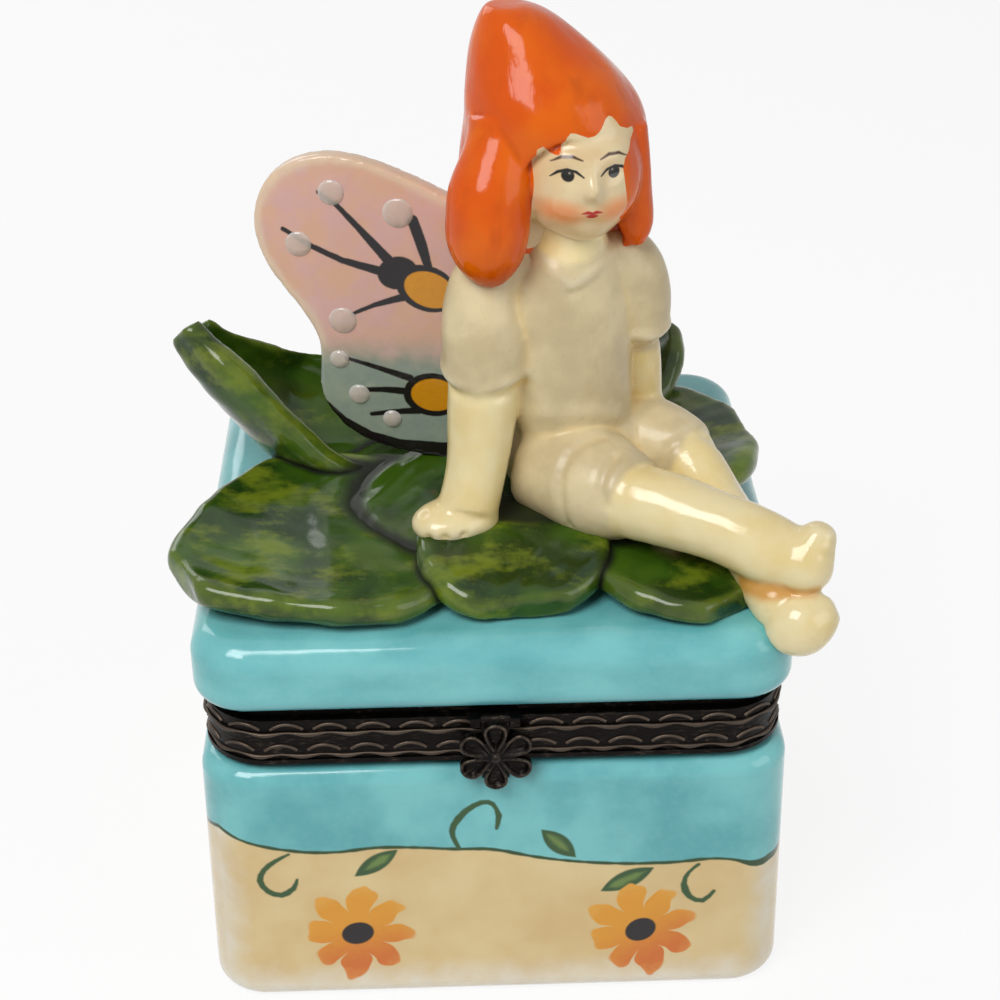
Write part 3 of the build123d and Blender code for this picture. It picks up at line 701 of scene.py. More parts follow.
@dataclass(frozen=True)
class WingPaint:
    """A butterfly wing's painting, read in the plane of the wing."""

    name: str
    root: tuple[float, float]
    heading: float
    low: float = 43.6
    rose: str = "DCA98C"
    blush: str = "D9A7A0"
    sea: str = "82968B"
    cream: str = "E4CFAE"
    ink: str = "140B0C"
    spot: str = "DE990A"
    veins: tuple = (
        ((10.0, 18.9, 1.0), (13.2, 22.6, 0.5), (15.2, 24.8, 0.35), (16.6, 25.8, 0.3)),
        ((10.9, 18.4, 0.8), (14.8, 19.4, 0.5), (17.4, 20.6, 0.4), (20.0, 22.2, 0.3)),
        ((6.9, 18.6, 0.6), (7.6, 21.3, 0.9), (8.3, 23.5, 0.9)),
        ((9.0, 16.2, 0.7), (12.0, 15.2, 0.35), (14.1, 14.2, 0.2)),
        ((9.0, 8.0, 0.6), (11.9, 8.9, 0.4), (15.0, 9.8, 0.2)),
        ((8.6, 6.6, 0.7), (11.2, 6.7, 0.5), (13.4, 6.6, 0.3)),
        ((8.3, 4.7, 0.6), (11.0, 4.4, 0.4), (12.7, 4.1, 0.3)),
    )
    edge_band: tuple = (
        (17.3, 5.4, 0.3), (15.4, 3.3, 0.7), (13.0, 1.7, 1.1), (10.2, 0.8, 1.5), (6.2, 0.6, 1.7),
        (2.0, 0.6, 1.6),
    )

    def material(self) -> bpy.types.Material:
        """The wing's glaze and painting."""
        recipe = Recipe(self.name)
        turn = math.radians(self.heading)
        local = recipe.turned(recipe.place, (*self.root, self.low), turn)
        out, _, up = recipe.split(local)
        point = recipe.joined(out, up)
        cloud = recipe.noise(3.2, 3.0, 0.6, shift=1.0)
        grain = recipe.noise(0.7, 3.0, 0.7, shift=3.0)
        upper = recipe.mix(recipe.step(cloud, 0.35, 0.66), colour(self.rose), colour(self.blush))
        border = recipe.step(recipe.times_plus(cloud, 0.8, recipe.painted("border")), 0.55, 1.3)
        upper = recipe.mix(recipe.times(border, 0.65), upper, colour(self.cream))
        fall = recipe.step(recipe.times_plus(cloud, 3.5, up), 14.4, 10.2)
        lower = recipe.mix(recipe.step(cloud, 0.4, 0.7), colour(self.sea), colour("94A18E"))
        surface = recipe.mix(fall, upper, lower)
        surface = recipe.mix(recipe.times(grain, 0.25), surface, colour("CDBFA8"))
        surface = self.add_ink(recipe, surface, point, grain)
        recipe.bump(recipe.times_plus(cloud, 0.12, recipe.times(grain, 0.01)))
        rough = recipe.times_plus(cloud, 0.1, 0.1)
        return recipe.finish(surface, rough, Coat_Weight=0.15, Coat_Roughness=0.04, Specular_IOR_Level=0.4)

    def add_ink(self, recipe: Recipe, surface: Socket, point: Socket, grain: Socket) -> Socket:
        """Paints the veins, the dark lower edge and the ringed spots."""
        lines = [recipe.line(point, list(vein)) for vein in (*self.veins, self.edge_band)]
        rings = [
            recipe.oval(point, (7.2, 17.0), (2.8, 2.15), 20.0),
            recipe.oval(point, (6.9, 6.4), (2.7, 2.15), 0.0),
        ]
        blob = recipe.oval(point, (9.8, 18.4), (1.8, 1.5), -20.0)
        ink = recipe.times_plus(grain, -0.12, recipe.nearest(*lines, *rings, blob))
        surface = recipe.mix(recipe.inside(ink, 0.08), surface, colour(self.ink))
        hearts = recipe.nearest(
            recipe.oval(point, (7.0, 16.9), (2.3, 1.7), 20.0),
            recipe.oval(point, (6.8, 6.4), (2.15, 1.65), 0.0),
        )
        gold = recipe.mix(grain, colour(self.spot), colour("CF8606"))
        return recipe.mix(recipe.inside(hearts, 0.08), surface, gold)


@dataclass(frozen=True)
class ClearDrop:
    """A raised drop of clear enamel, milky over its middle, with a painted white reflection along its rim."""

    def material(self) -> bpy.types.Material:
        """The drops' finish."""
        recipe = Recipe("clear_drop")
        cloud = recipe.noise(0.8, 3.0, 0.6)
        proud = recipe.times(recipe.painted("hollow"), -1.0)
        # Painted reflection: the proud rim is lightened to near white, standing in for light caught along the
        # drop's edge.
        rim = recipe.step(recipe.times_plus(cloud, 0.4, proud), 0.3, 0.9)
        tint = recipe.mix(cloud, colour("F6E9DC"), colour("E6D3C2"))
        tint = recipe.mix(rim, tint, colour("FFFCF6"))
        recipe.bump(recipe.times(cloud, 0.05))
        rough = recipe.times_plus(cloud, 0.1, 0.03)
        return recipe.finish(tint, rough, Transmission_Weight=0.5, IOR=1.35, Coat_Weight=0.3)


@dataclass(frozen=True)
class DarkBronze:
    """Near-black patinated metal, worn to a warm grey on its edges."""

    name: str = "dark_bronze"
    black: str = "110D0B"
    worn: str = "5E5145"
    wear: float = 0.5
    uses_hollow: bool = False

    def material(self) -> bpy.types.Material:
        """The metal's finish."""
        recipe = Recipe(self.name)
        cloud = recipe.noise(2.4, 4.0, 0.6)
        scratch = recipe.noise(0.35, 4.0, 0.7, (2.5, 2.5, 0.6), shift=4.0)
        rubbed = recipe.step(recipe.calc("ADD", recipe.times(cloud, 0.5), scratch), 0.78, 1.02)
        if self.uses_hollow:
            raised = recipe.times(recipe.painted("hollow"), -1.0)
            proud = recipe.step(recipe.times_plus(scratch, 0.5, raised), 0.25, 0.95)
            rubbed = recipe.calc("MAXIMUM", proud, recipe.times(rubbed, 0.5))
        share = recipe.times(rubbed, self.wear)
        surface = recipe.mix(share, colour(self.black), colour(self.worn))
        recipe.bump(recipe.times(scratch, 0.03))
        rough = recipe.times_plus(scratch, 0.25, 0.28)
        return recipe.finish(surface, rough, Metallic=0.85)


# Shaping


def pick(*pieces: Piece) -> None:
    """Selects only these pieces and makes the first one active."""
    bpy.ops.object.select_all(action="DESELECT")
    for piece in pieces:
        piece.select_set(True)
    bpy.context.view_layer.objects.active = pieces[0]


def modify(piece: Piece, kind: str, **settings: object) -> None:
    """Adds a modifier with its settings and applies it."""
    pick(piece)
    bpy.ops.object.modifier_add(type=kind)
    modifier = piece.modifiers[-1]
    for name, value in settings.items():
        setattr(modifier, name, value)
    bpy.ops.object.modifier_apply(modifier=modifier.name)


def solid_copy(name: str, nodes: list[str], swell: float = 0.0) -> Piece:
    """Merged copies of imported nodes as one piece.

    Args:
        name: The piece's name.
        nodes: The nodes to copy.
        swell: How far each copy is swollen, in millimetres, so that neighbours meet.

    Returns:
        The piece.
    """
    whole = bmesh.new()
    for node in nodes:
        part = bmesh.new()
        part.from_mesh(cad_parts[node].data)
        bmesh.ops.remove_doubles(part, verts=part.verts, dist=2e-6)
        part.normal_update()
        for point in part.verts:
            point.co += point.normal * swell * MM
        scrap = bpy.data.meshes.new("scrap")
        part.to_mesh(scrap)
        part.free()
        whole.from_mesh(scrap)
        bpy.data.meshes.remove(scrap)
    mesh = bpy.data.meshes.new(name)
    whole.to_mesh(mesh)
    whole.free()
    piece = bpy.data.objects.new(name, mesh)
    bpy.context.scene.collection.objects.link(piece)
    return piece


def clay_copy(name: str, nodes: list[str], grain: float, swell: float, rounds: int) -> Piece:
    """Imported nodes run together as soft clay: copied, remeshed and smoothed.

    Args:
        name: The piece's name.
        nodes: The nodes it is made from.
        grain: The new mesh's spacing in millimetres.
        swell: How far each node is swollen first, in millimetres.
        rounds: How many rounds of smoothing it gets.

    Returns:
        The piece.
    """
    piece = solid_copy(name, nodes, swell)
    modify(piece, "REMESH", mode="VOXEL", voxel_size=grain * MM, adaptivity=0.0)
    modify(piece, "SMOOTH", factor=0.5, iterations=rounds)
    return piece


def dress(piece: Piece, material: bpy.types.Material) -> None:
    """Gives a piece one material all over."""
    piece.data.materials.clear()
    piece.data.materials.append(material)


def soften(piece: Piece, angle: float = 40.0) -> None:
    """Shades a piece smooth, apart from edges sharper than an angle."""
    pick(piece)
    bpy.ops.object.shade_smooth_by_angle(angle=math.radians(angle))


def place_piece(piece: Piece, body: Body, slot: Slot, *nodes: str) -> None:
    """Makes a piece ride with its body and hides the nodes it stands for."""
    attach(piece, body.value)
    if nodes:
        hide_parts(*nodes)


def dress_nodes(material: bpy.types.Material, *nodes: str) -> None:
    """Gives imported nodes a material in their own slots."""
    for name in nodes:
        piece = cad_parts[name]
        if not piece.material_slots:
            piece.data.materials.append(material)
        for slot in piece.material_slots:
            slot.material = material


class Clay:
    """A piece's points, moved in millimetres and written back."""

    def __init__(self, piece: Piece) -> None:
        """Reads the piece's points and edges."""
        self.piece = piece
        mesh = piece.data
        self.count = len(mesh.vertices)
        flat = np.empty(self.count * 3)
        mesh.vertices.foreach_get("co", flat)
        self.points = flat.reshape(-1, 3) / MM
        ends = np.empty(len(mesh.edges) * 2, dtype=np.int64)
        mesh.edges.foreach_get("vertices", ends)
        self.edges = ends.reshape(-1, 2)
        self.neighbours = np.maximum(np.bincount(ends, minlength=self.count), 1)

    @property
    def normals(self) -> np.ndarray:
        """Each point's outward direction."""
        flat = np.empty(self.count * 3)
        self.piece.data.vertices.foreach_get("normal", flat)
        return flat.reshape(-1, 3)

    def write(self) -> None:
        """Writes the points back to the mesh."""
        self.piece.data.vertices.foreach_set("co", (self.points * MM).ravel())
        self.piece.data.update()

    def push(self, amount: np.ndarray) -> None:
        """Moves each point outward by its own amount."""
        self.points = self.points + self.normals * amount[:, None]
        self.write()

    def blurred(self, values: np.ndarray, rounds: int) -> np.ndarray:
        """Values averaged with their neighbours, several times over.

        Args:
            values: One number, or one row, for each point.
            rounds: How many times they are averaged.

        Returns:
            The averaged values.
        """
        first, second = self.edges[:, 0], self.edges[:, 1]
        rows = values.reshape(self.count, -1).astype(float)
        for _ in range(rounds):
            total = np.empty_like(rows)
            for i in range(rows.shape[1]):
                total[:, i] = np.bincount(first, rows[second, i], self.count)
                total[:, i] += np.bincount(second, rows[first, i], self.count)
            rows = 0.5 * rows + 0.5 * total / self.neighbours[:, None]
        return rows.reshape(values.shape)

    def distance(self, path: list[Place]) -> np.ndarray:
        """Each point's distance from a line through places."""
        best = np.full(self.count, np.inf)
        corners = np.array(path, float)
        for start, end in zip(corners, corners[1:]):
            run = end - start
            share = np.clip((self.points - start) @ run / (run @ run), 0, 1)
            best = np.minimum(best, np.linalg.norm(self.points - start - share[:, None] * run, axis=1))
        return best

    def ridge(self, path: list[Place], height: float, width: float) -> None:
        """Raises a soft ridge along a line, or presses a groove where the height is below nought."""
        self.push(height * np.exp(-((self.distance(path) / width) ** 2)))

    def mark(self, name: str, values: np.ndarray) -> None:
        """Writes a number for each point into the mesh, for a finish to read."""
        mesh = self.piece.data
        attribute = mesh.attributes.get(name) or mesh.attributes.new(name, "FLOAT", "POINT")
        attribute.data.foreach_set("value", values.astype(np.float32))

    def mark_hollows(self, rounds: int, full: float) -> None:
        """Marks hollows above nought and proud edges below it.

        Args:
            rounds: How wide a hollow it looks for.
            full: The depth in millimetres that counts as one.
        """
        lean = np.einsum("ij,ij->i", self.blurred(self.points, rounds) - self.points, self.normals)
        self.mark("hollow", np.clip(self.blurred(lean, 2) / full, -1, 1))

    def mark_painted_shade(self, others: list[str], reach: float) -> None:
        """Marks where the piece comes close to other nodes, for the painted shade there."""
        trees = [node_tree(name) for name in others]
        near = np.empty(self.count)
        for i, point in enumerate(self.points):
            spot = Vector(point) * MM
            hits = [tree.find_nearest(spot, reach * MM) for tree in trees]
            gaps = [hit[3] for hit in hits if hit[0] is not None]
            near[i] = min(gaps) / MM if gaps else reach
        self.mark("painted_shade", self.blurred(1 - near / reach, 2))


def node_tree(name: str) -> BVHTree:
    """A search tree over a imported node's mesh."""
    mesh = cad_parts[name].data
    points = [point.co for point in mesh.vertices]
    return BVHTree.FromPolygons(points, [tuple(face.vertices) for face in mesh.polygons])


def waves(points: np.ndarray, size: float, seed: int) -> np.ndarray:
    """Slow, even undulation at each point, from a few sine waves.

    Args:
        points: The points, in millimetres.
        size: The wave's length.
        seed: Which waves are drawn.

    Returns:
        A number from about -1 to 1 for each point.
    """
    rng = np.random.default_rng(seed)
    total = np.zeros(len(points))
    for _ in range(6):
        way = rng.normal(size=3)
        way *= 2 * math.pi / (size * rng.uniform(0.7, 1.5) * np.linalg.norm(way))
        total += np.sin(points @ way + rng.uniform(0, 2 * math.pi))
    return total / 3.0


# Sub-assemblies


@dataclass
class PorcelainBox:
    """The lower box and the lid, which keep their solids."""

    paint: BoxPaint = field(default_factory=BoxPaint)
    glaze: LidGlaze = field(default_factory=LidGlaze)

    def dress(self) -> None:
        """Glazes both."""
        dress_nodes(self.paint.material(), "base_box")
        dress_nodes(self.glaze.material(), "lid_shell")


@dataclass
class RimTrim:
    """The scallops and wavy wires that run round a rim, from one side of the hinge to the other."""

    name: str
    body: Body
    arch_foot: float
    wire_height: float
    wire_out: float
    shift: float
    half: float = 25.4
    corner: float = 5.6
    pitch: float = 3.75
    arch_width: float = 2.8
    arch_rise: float = 0.5
    thickness: float = 0.17
    hinge_clear: float = 8.2

    @property
    def side(self) -> float:
        """The run from the middle of one side to the middle of the next."""
        return 2 * (self.half - self.corner) + math.pi * self.corner / 2

    def build(self) -> Piece:
        """Models one arch and one length of wire, repeats them and wraps them round the rim."""
        reach = 2 * self.side - self.hinge_clear
        count = int((reach - self.arch_width) / self.pitch)
        arch = self.arch()
        wire = self.wire(reach)
        pieces = [wire]
        for i in range(-count, count + 1):
            run = i * self.pitch + self.shift
            if abs(run) > reach - self.arch_width / 2:
                continue
            copy = arch.copy()
            copy.data = arch.data.copy()
            bpy.context.scene.collection.objects.link(copy)
            copy.data.transform(Matrix.Translation(Vector((run, 0.0, self.arch_foot)) * MM))
            pieces.append(copy)
        bpy.data.objects.remove(arch)
        pick(*pieces)
        bpy.ops.object.join()
        wire.name = self.name
        self.wrap(wire)
        soften(wire, 50.0)
        Clay(wire).mark("hollow", np.full(len(wire.data.vertices), -0.6))
        return wire

    def arch(self) -> Piece:
        """One shallow arch, spun from a small disc about a centre below it."""
        half, rise = self.arch_width / 2, self.arch_rise
        radius = (half**2 + rise**2) / (2 * rise)
        lean = math.asin(half / radius)
        drop = radius - rise
        bpy.ops.object.select_all(action="DESELECT")
        bpy.ops.mesh.primitive_circle_add(
            vertices=8,
            radius=self.thickness * MM,
            fill_type="NGON",
            location=(-half * MM, 0, 0),
            rotation=(0, math.pi / 2 - lean, 0),
        )
        piece = bpy.context.object
        bpy.ops.object.transform_apply(location=True, rotation=True, scale=True)
        bpy.ops.object.mode_set(mode="EDIT")
        bpy.ops.mesh.select_all(action="SELECT")
        bpy.ops.mesh.spin(steps=9, angle=2 * lean, center=(0, 0, -drop * MM), axis=(0, -1, 0))
        bpy.ops.mesh.select_all(action="SELECT")
        bpy.ops.mesh.remove_doubles(threshold=1e-6)
        bpy.ops.mesh.normals_make_consistent(inside=False)
        bpy.ops.object.mode_set(mode="OBJECT")
        return piece

    def wire(self, reach: float) -> Piece:
        """A wavy wire with a swelling between arches, made from a long bar."""
        steps = int(2 * reach / 0.3)
        bpy.ops.object.select_all(action="DESELECT")
        bpy.ops.mesh.primitive_circle_add(
            vertices=8,
            radius=self.thickness * MM,
            fill_type="NGON",
            location=(-reach * MM, 0, 0),
            rotation=(0, math.pi / 2, 0),
        )
        piece = bpy.context.object
        bpy.ops.object.transform_apply(location=True, rotation=True, scale=True)
        bpy.ops.object.mode_set(mode="EDIT")
        bpy.ops.mesh.select_all(action="SELECT")
        bpy.ops.mesh.extrude_region_move(TRANSFORM_OT_translate={"value": (2 * reach * MM, 0, 0)})
        bpy.ops.mesh.select_all(action="SELECT")
        bpy.ops.mesh.normals_make_consistent(inside=False)
        bpy.ops.object.mode_set(mode="OBJECT")
        for i in range(1, steps):
            self.cut(piece, (2 * i / steps - 1) * reach)
        clay = Clay(piece)
        phase = (clay.points[:, 0] - self.shift) / self.pitch * 2 * math.pi
        swell = 1.0 - 0.45 * np.cos(phase)
        clay.points[:, 1:] *= swell[:, None]
        clay.points[:, 2] += self.wire_height - 0.1 * np.cos(phase + math.pi)
        clay.points[:, 1] -= self.wire_out
        clay.write()
        return piece

    def cut(self, piece: Piece, run: float) -> None:
        """Adds a ring of points across the bar."""
        mesh = bmesh.new()
        mesh.from_mesh(piece.data)
        everything = mesh.verts[:] + mesh.edges[:] + mesh.faces[:]
        bmesh.ops.bisect_plane(mesh, geom=everything, plane_co=(run * MM, 0, 0), plane_no=(1, 0, 0))
        mesh.to_mesh(piece.data)
        mesh.free()

    def wrap(self, piece: Piece) -> None:
        """Bends the straight trim round the rim's square path with round corners."""
        clay = Clay(piece)
        run, out, high = clay.points[:, 0].copy(), -clay.points[:, 1], clay.points[:, 2].copy()
        flat = self.half - self.corner
        turn = np.floor((run + self.side / 2) / self.side)
        local = run - turn * self.side
        lean = np.clip((np.abs(local) - flat) / self.corner, 0, math.pi / 4) * np.sign(local)
        across = np.clip(local, -flat, flat) + (self.corner + out) * np.sin(lean)
        back = -flat - (self.corner + out) * np.cos(lean)
        angle = turn * math.pi / 2
        clay.points[:, 0] = across * np.cos(angle) - back * np.sin(angle)
        clay.points[:, 1] = across * np.sin(angle) + back * np.cos(angle)
        clay.points[:, 2] = high
        clay.write()


@dataclass
class MetalWork:
    """The rims, hinge and clasp."""

    def build(self) -> None:
        """Dresses the metal nodes and adds the trim."""
        bronze = DarkBronze().material()
        dress_nodes(bronze, "base_bezel", "lid_bezel", "base_hinge_knuckles", "lid_hinge_knuckles")
        dress_nodes(bronze, "catch_bar", "clasp_bracket", "clasp_strap")
        dress_nodes(DarkBronze("pin_bronze", worn="A08E78", wear=0.8).material(), "hinge_pin", "clasp_pin")
        worn = DarkBronze("worn_bronze", black="120E0C", worn="5E5146", wear=0.7, uses_hollow=True).material()
        lid_trim = RimTrim("lid_rim_trim", Body.LID, 30.13, 29.72, 0.12, 0.7)
        base_trim = RimTrim("base_rim_trim", Body.BASE, 27.93, 27.35, 0.0, 0.1)
        for trim in (lid_trim, base_trim):
            piece = trim.build()
            dress(piece, worn)
            place_piece(piece, trim.body, Slot.RIM)
            log.info("%s: %d faces", piece.name, len(piece.data.polygons))


@dataclass
class ClaspFlower:
    """Six scooped petals round a small knob."""

    centre: Place = (0.0, -26.55, 27.9)
    reach: float = 3.45
    petal_half: float = 1.3
    depth: float = 0.9
    petals: int = 6

    def petal(self) -> Piece:
        """One petal pointing up: a disc pulled to a petal's outline, rimmed, scooped and backed."""
        bpy.ops.object.select_all(action="DESELECT")
        bpy.ops.mesh.primitive_circle_add(
            vertices=24, radius=1.0 * MM, fill_type="NGON", rotation=(math.pi / 2, 0, 0)
        )
        piece = bpy.context.object
        bpy.ops.object.transform_apply(location=True, rotation=True, scale=True)
        clay = Clay(piece)
        x, z = clay.points[:, 0].copy(), clay.points[:, 2].copy()
        narrow = np.clip(0.72 + 0.4 * z, 0.3, 1.0)
        clay.points[:, 0] = x * self.petal_half * narrow
        clay.points[:, 2] = (self.reach + 0.3) / 2 + z * (self.reach - 0.3) / 2
        clay.write()
        bpy.ops.object.mode_set(mode="EDIT")
        bpy.ops.mesh.select_all(action="SELECT")
        bpy.ops.mesh.extrude_region_move(TRANSFORM_OT_translate={"value": (0, -self.depth * 0.8 * MM, 0)})
        bpy.ops.mesh.inset(thickness=0.16 * MM, depth=0.12 * MM)
        bpy.ops.mesh.inset(thickness=0.14 * MM, depth=-0.1 * MM)
        bpy.ops.mesh.inset(thickness=0.26 * MM, depth=-0.42 * MM)
        bpy.ops.mesh.inset(thickness=0.2 * MM, depth=0.06 * MM)
        bpy.ops.mesh.select_all(action="SELECT")
        bpy.ops.mesh.normals_make_consistent(inside=False)
        bpy.ops.object.mode_set(mode="OBJECT")
        return piece

    def build(self) -> Piece:
        """Copies the petal round the knob and joins them."""
        petal = self.petal()
        pieces = []
        for i in range(self.petals):
            copy = petal.copy()
            copy.data = petal.data.copy()
            bpy.context.scene.collection.objects.link(copy)
            turn = Matrix.Rotation(i * 2 * math.pi / self.petals, 4, "Y")
            copy.data.transform(Matrix.Translation(Vector(self.centre) * MM) @ turn)
            pieces.append(copy)
        bpy.data.objects.remove(petal)
        bpy.ops.object.select_all(action="DESELECT")
        bpy.ops.mesh.primitive_uv_sphere_add(segments=16, ring_count=10, radius=0.55 * MM)
        knob = bpy.context.object
        knob.data.transform(Matrix.Translation(Vector((0.0, -27.15, 27.9)) * MM))
        pick(knob, *pieces)
        bpy.ops.object.join()
        knob.name = "clasp_flower_petals"
        modify(knob, "REMESH", mode="VOXEL", voxel_size=0.07 * MM, adaptivity=0.0)
        modify(knob, "SMOOTH", factor=0.5, iterations=2)
        clay = Clay(knob)
        clay.mark_hollows(12, 0.1)
        soften(knob, 60.0)
        dress(knob, DarkBronze("flower_bronze", worn="7A6B5C", wear=0.8, uses_hollow=True).material())
        place_piece(knob, Body.CLASP, Slot.CLASP, "clasp_flower")
        return knob


@dataclass
class LeafBed:
    """The mound and the leaves, each remodelled in thick glaze over its solid."""

    grain: float = 0.28
    swell: float = 0.28
    relief: float = 0.55
    relief_rounds: int = 70
    rounds: int = 24
    mound_rounds: int = 120
    shade_reach: float = 1.3
    names: tuple = (
        "leaf_mound", "leaf_left", "leaf_front", "leaf_front_right", "leaf_right", "leaf_back_right",
        "leaf_back", "leaf_upright",
    )

    def build(self) -> None:
        """Models each leaf and glazes it."""
        for i, name in enumerate(self.names):
            is_mound = name == "leaf_mound"
            rounds = self.mound_rounds if is_mound else self.rounds
            piece = clay_copy(f"{name}_glazed", [name], self.grain, self.swell, rounds)
            clay = Clay(piece)
            clay.points += self.relief * (clay.points - clay.blurred(clay.points, self.relief_rounds))
            clay.write()
            clay.push(0.12 * waves(clay.points, 6.0, i) + 0.04 * waves(clay.points, 2.4, i + 20))
            clay.mark_hollows(30, 0.3)
            # Marks painted shade where this leaf comes close to the other leaves and the mound.
            clay.mark_painted_shade([other for other in self.names if other != name], self.shade_reach)
            soften(piece, 60.0)
            tones = {"olive": "34470F", "rim": "24391A"} if is_mound else {}
            dress(piece, LeafGlaze(f"{name}_glaze", i * 3.7, **tones).material())
            place_piece(piece, Body.LID, Slot.LEAF, name)
            log.info("%s: %d faces", piece.name, len(piece.data.polygons))


@dataclass(frozen=True)
class Fold:
    """A raised hem or a pressed fold, as a path, a height and a width."""

    path: tuple[Place, ...]
    height: float
    width: float


@dataclass
class Figure:
    """The seated body, run together from its torso, romper, arms and legs."""

    grain: float = 0.25
    cloth_nodes: tuple = ("fairy_torso", "fairy_romper")
    skin_nodes: tuple = ("fairy_right_arm", "fairy_left_arm", "fairy_right_leg", "fairy_left_leg")
    sleeve_height: float = 56.0
    neck_height: float = 68.0
    collar_swell: tuple = (((4.9, -7.6, 66.2), 0.9), ((11.0, -6.2, 66.2), 0.8), ((7.4, -10.2, 66.0), 0.4))
    right_sleeve_hem: tuple = (
        (-4.0, -8.6, 57.6), (-3.6, -10.7, 57.1), (-2.8, -12.0, 56.6), (-0.7, -12.8, 56.2), (1.5, -12.5, 56.6),
        (3.3, -10.4, 56.8),
    )
    left_sleeve_hem: tuple = ((13.0, -7.0, 58.4), (14.5, -6.8, 58.1), (16.1, -5.3, 58.2), (16.6, -3.6, 58.0))
    collar: tuple = (
        (4.3, -8.0, 66.9), (5.6, -10.0, 65.9), (7.2, -10.5, 64.9), (8.9, -9.9, 65.7), (10.8, -7.6, 66.8),
    )
    near_hem: tuple = (
        (9.8, -11.9, 50.8), (8.4, -12.5, 50.6), (7.1, -13.3, 49.9), (6.3, -14.3, 48.5), (6.3, -15.1, 46.5),
        (7.0, -15.0, 43.8),
    )
    knee_fold: tuple = ((10.9, -14.4, 50.2), (9.9, -15.8, 49.2), (9.5, -16.6, 48.2), (10.0, -17.3, 47.1))
    far_hem: tuple = (
        (15.5, -10.1, 47.2), (16.0, -9.9, 48.5), (17.6, -9.4, 49.3), (19.3, -8.5, 49.0), (20.5, -8.2, 47.8),
    )
    lap_fold: tuple = ((5.0, -10.7, 52.6), (7.7, -10.8, 52.9), (9.9, -9.9, 52.1), (12.9, -7.6, 50.3))
    pool_width: float = 1.2
    collar_reach: float = 1.9
    pool: tuple = ((21.6, -21.9, 41.6), (23.1, -23.5, 41.9), (25.2, -23.8, 42.0), (26.9, -24.0, 42.4))
    finger_gaps: tuple = (
        ((-5.6, -14.6, 44.8), (-5.3, -16.2, 43.6)),
        ((-4.2, -14.8, 45.0), (-3.9, -16.8, 43.6)),
        ((-2.6, -14.8, 45.0), (-2.2, -16.7, 43.6)),
    )
    toe_gaps: tuple = (
        ((27.6, -23.4, 46.7), (28.9, -23.0, 46.3)),
        ((27.5, -23.9, 45.6), (28.9, -23.4, 45.2)),
    )

    def folds(self) -> list[Fold]:
        """Every hem, fold and gap."""
        folds = [Fold(path, 0.24, 0.55) for path in (self.right_sleeve_hem, self.left_sleeve_hem)]
        for path in (self.right_sleeve_hem, self.left_sleeve_hem):
            folds.append(Fold(tuple((x, y, z - 1.1) for x, y, z in path), -0.22, 0.45))
        folds.append(Fold(self.collar, 0.22, 0.5))
        folds.append(Fold(tuple((x, y, z - 0.9) for x, y, z in self.collar), -0.12, 0.4))
        folds += [Fold(path, -0.3, 0.55) for path in (self.near_hem, self.far_hem)]
        folds += [Fold(self.knee_fold, -0.28, 0.5), Fold(self.lap_fold, 0.22, 0.9)]
        folds += [Fold(path, -0.3, 0.32) for path in self.finger_gaps]
        folds += [Fold(path, -0.16, 0.3) for path in self.toe_gaps]
        return folds

    def build(self) -> Piece:
        """Models the body and glazes it."""
        nodes = [*self.cloth_nodes, *self.skin_nodes]
        piece = clay_copy("fairy_body", nodes, self.grain, 0.1, 16)
        clay = Clay(piece)
        for fold in self.folds():
            clay.ridge(list(fold.path), fold.height, fold.width)
        clay.push(0.08 * waves(clay.points, 6.0, 3) + 0.015 * waves(clay.points, 2.2, 4))
        for centre, amount in self.collar_swell:
            reach = np.linalg.norm(clay.points - np.array(centre), axis=1) / self.collar_reach
            clay.push(amount * np.exp(-(reach ** 2)))
        clay.mark_hollows(30, 0.3)
        clay.mark("cloth", self.clothed(clay))
        clay.mark("amber", np.exp(-((clay.distance(list(self.pool)) / self.pool_width) ** 2)))
        soften(piece, 60.0)
        dress(piece, FigureGlaze().material())
        place_piece(piece, Body.LID, Slot.FIGURE, *nodes)
        return piece

    def clothed(self, clay: Clay) -> np.ndarray:
        """1 on the clothes and 0 on the skin, with a soft edge."""
        cloth = [node_tree(name) for name in self.cloth_nodes]
        skin = [node_tree(name) for name in self.skin_nodes]
        values = np.zeros(clay.count)
        for i, point in enumerate(clay.points):
            spot = Vector(point) * MM
            to_cloth = min(tree.find_nearest(spot)[3] for tree in cloth)
            to_skin = min(tree.find_nearest(spot)[3] for tree in skin)
            sleeve = point[2] > self.sleeve_height
            values[i] = 1.0 if to_cloth < to_skin or sleeve else 0.0
        collar = self.neck_height - 0.5 * np.clip(-clay.points[:, 1] - 8.0, 0, 4)
        values[clay.points[:, 2] > collar] = 0.0
        return clay.blurred(values, 3)


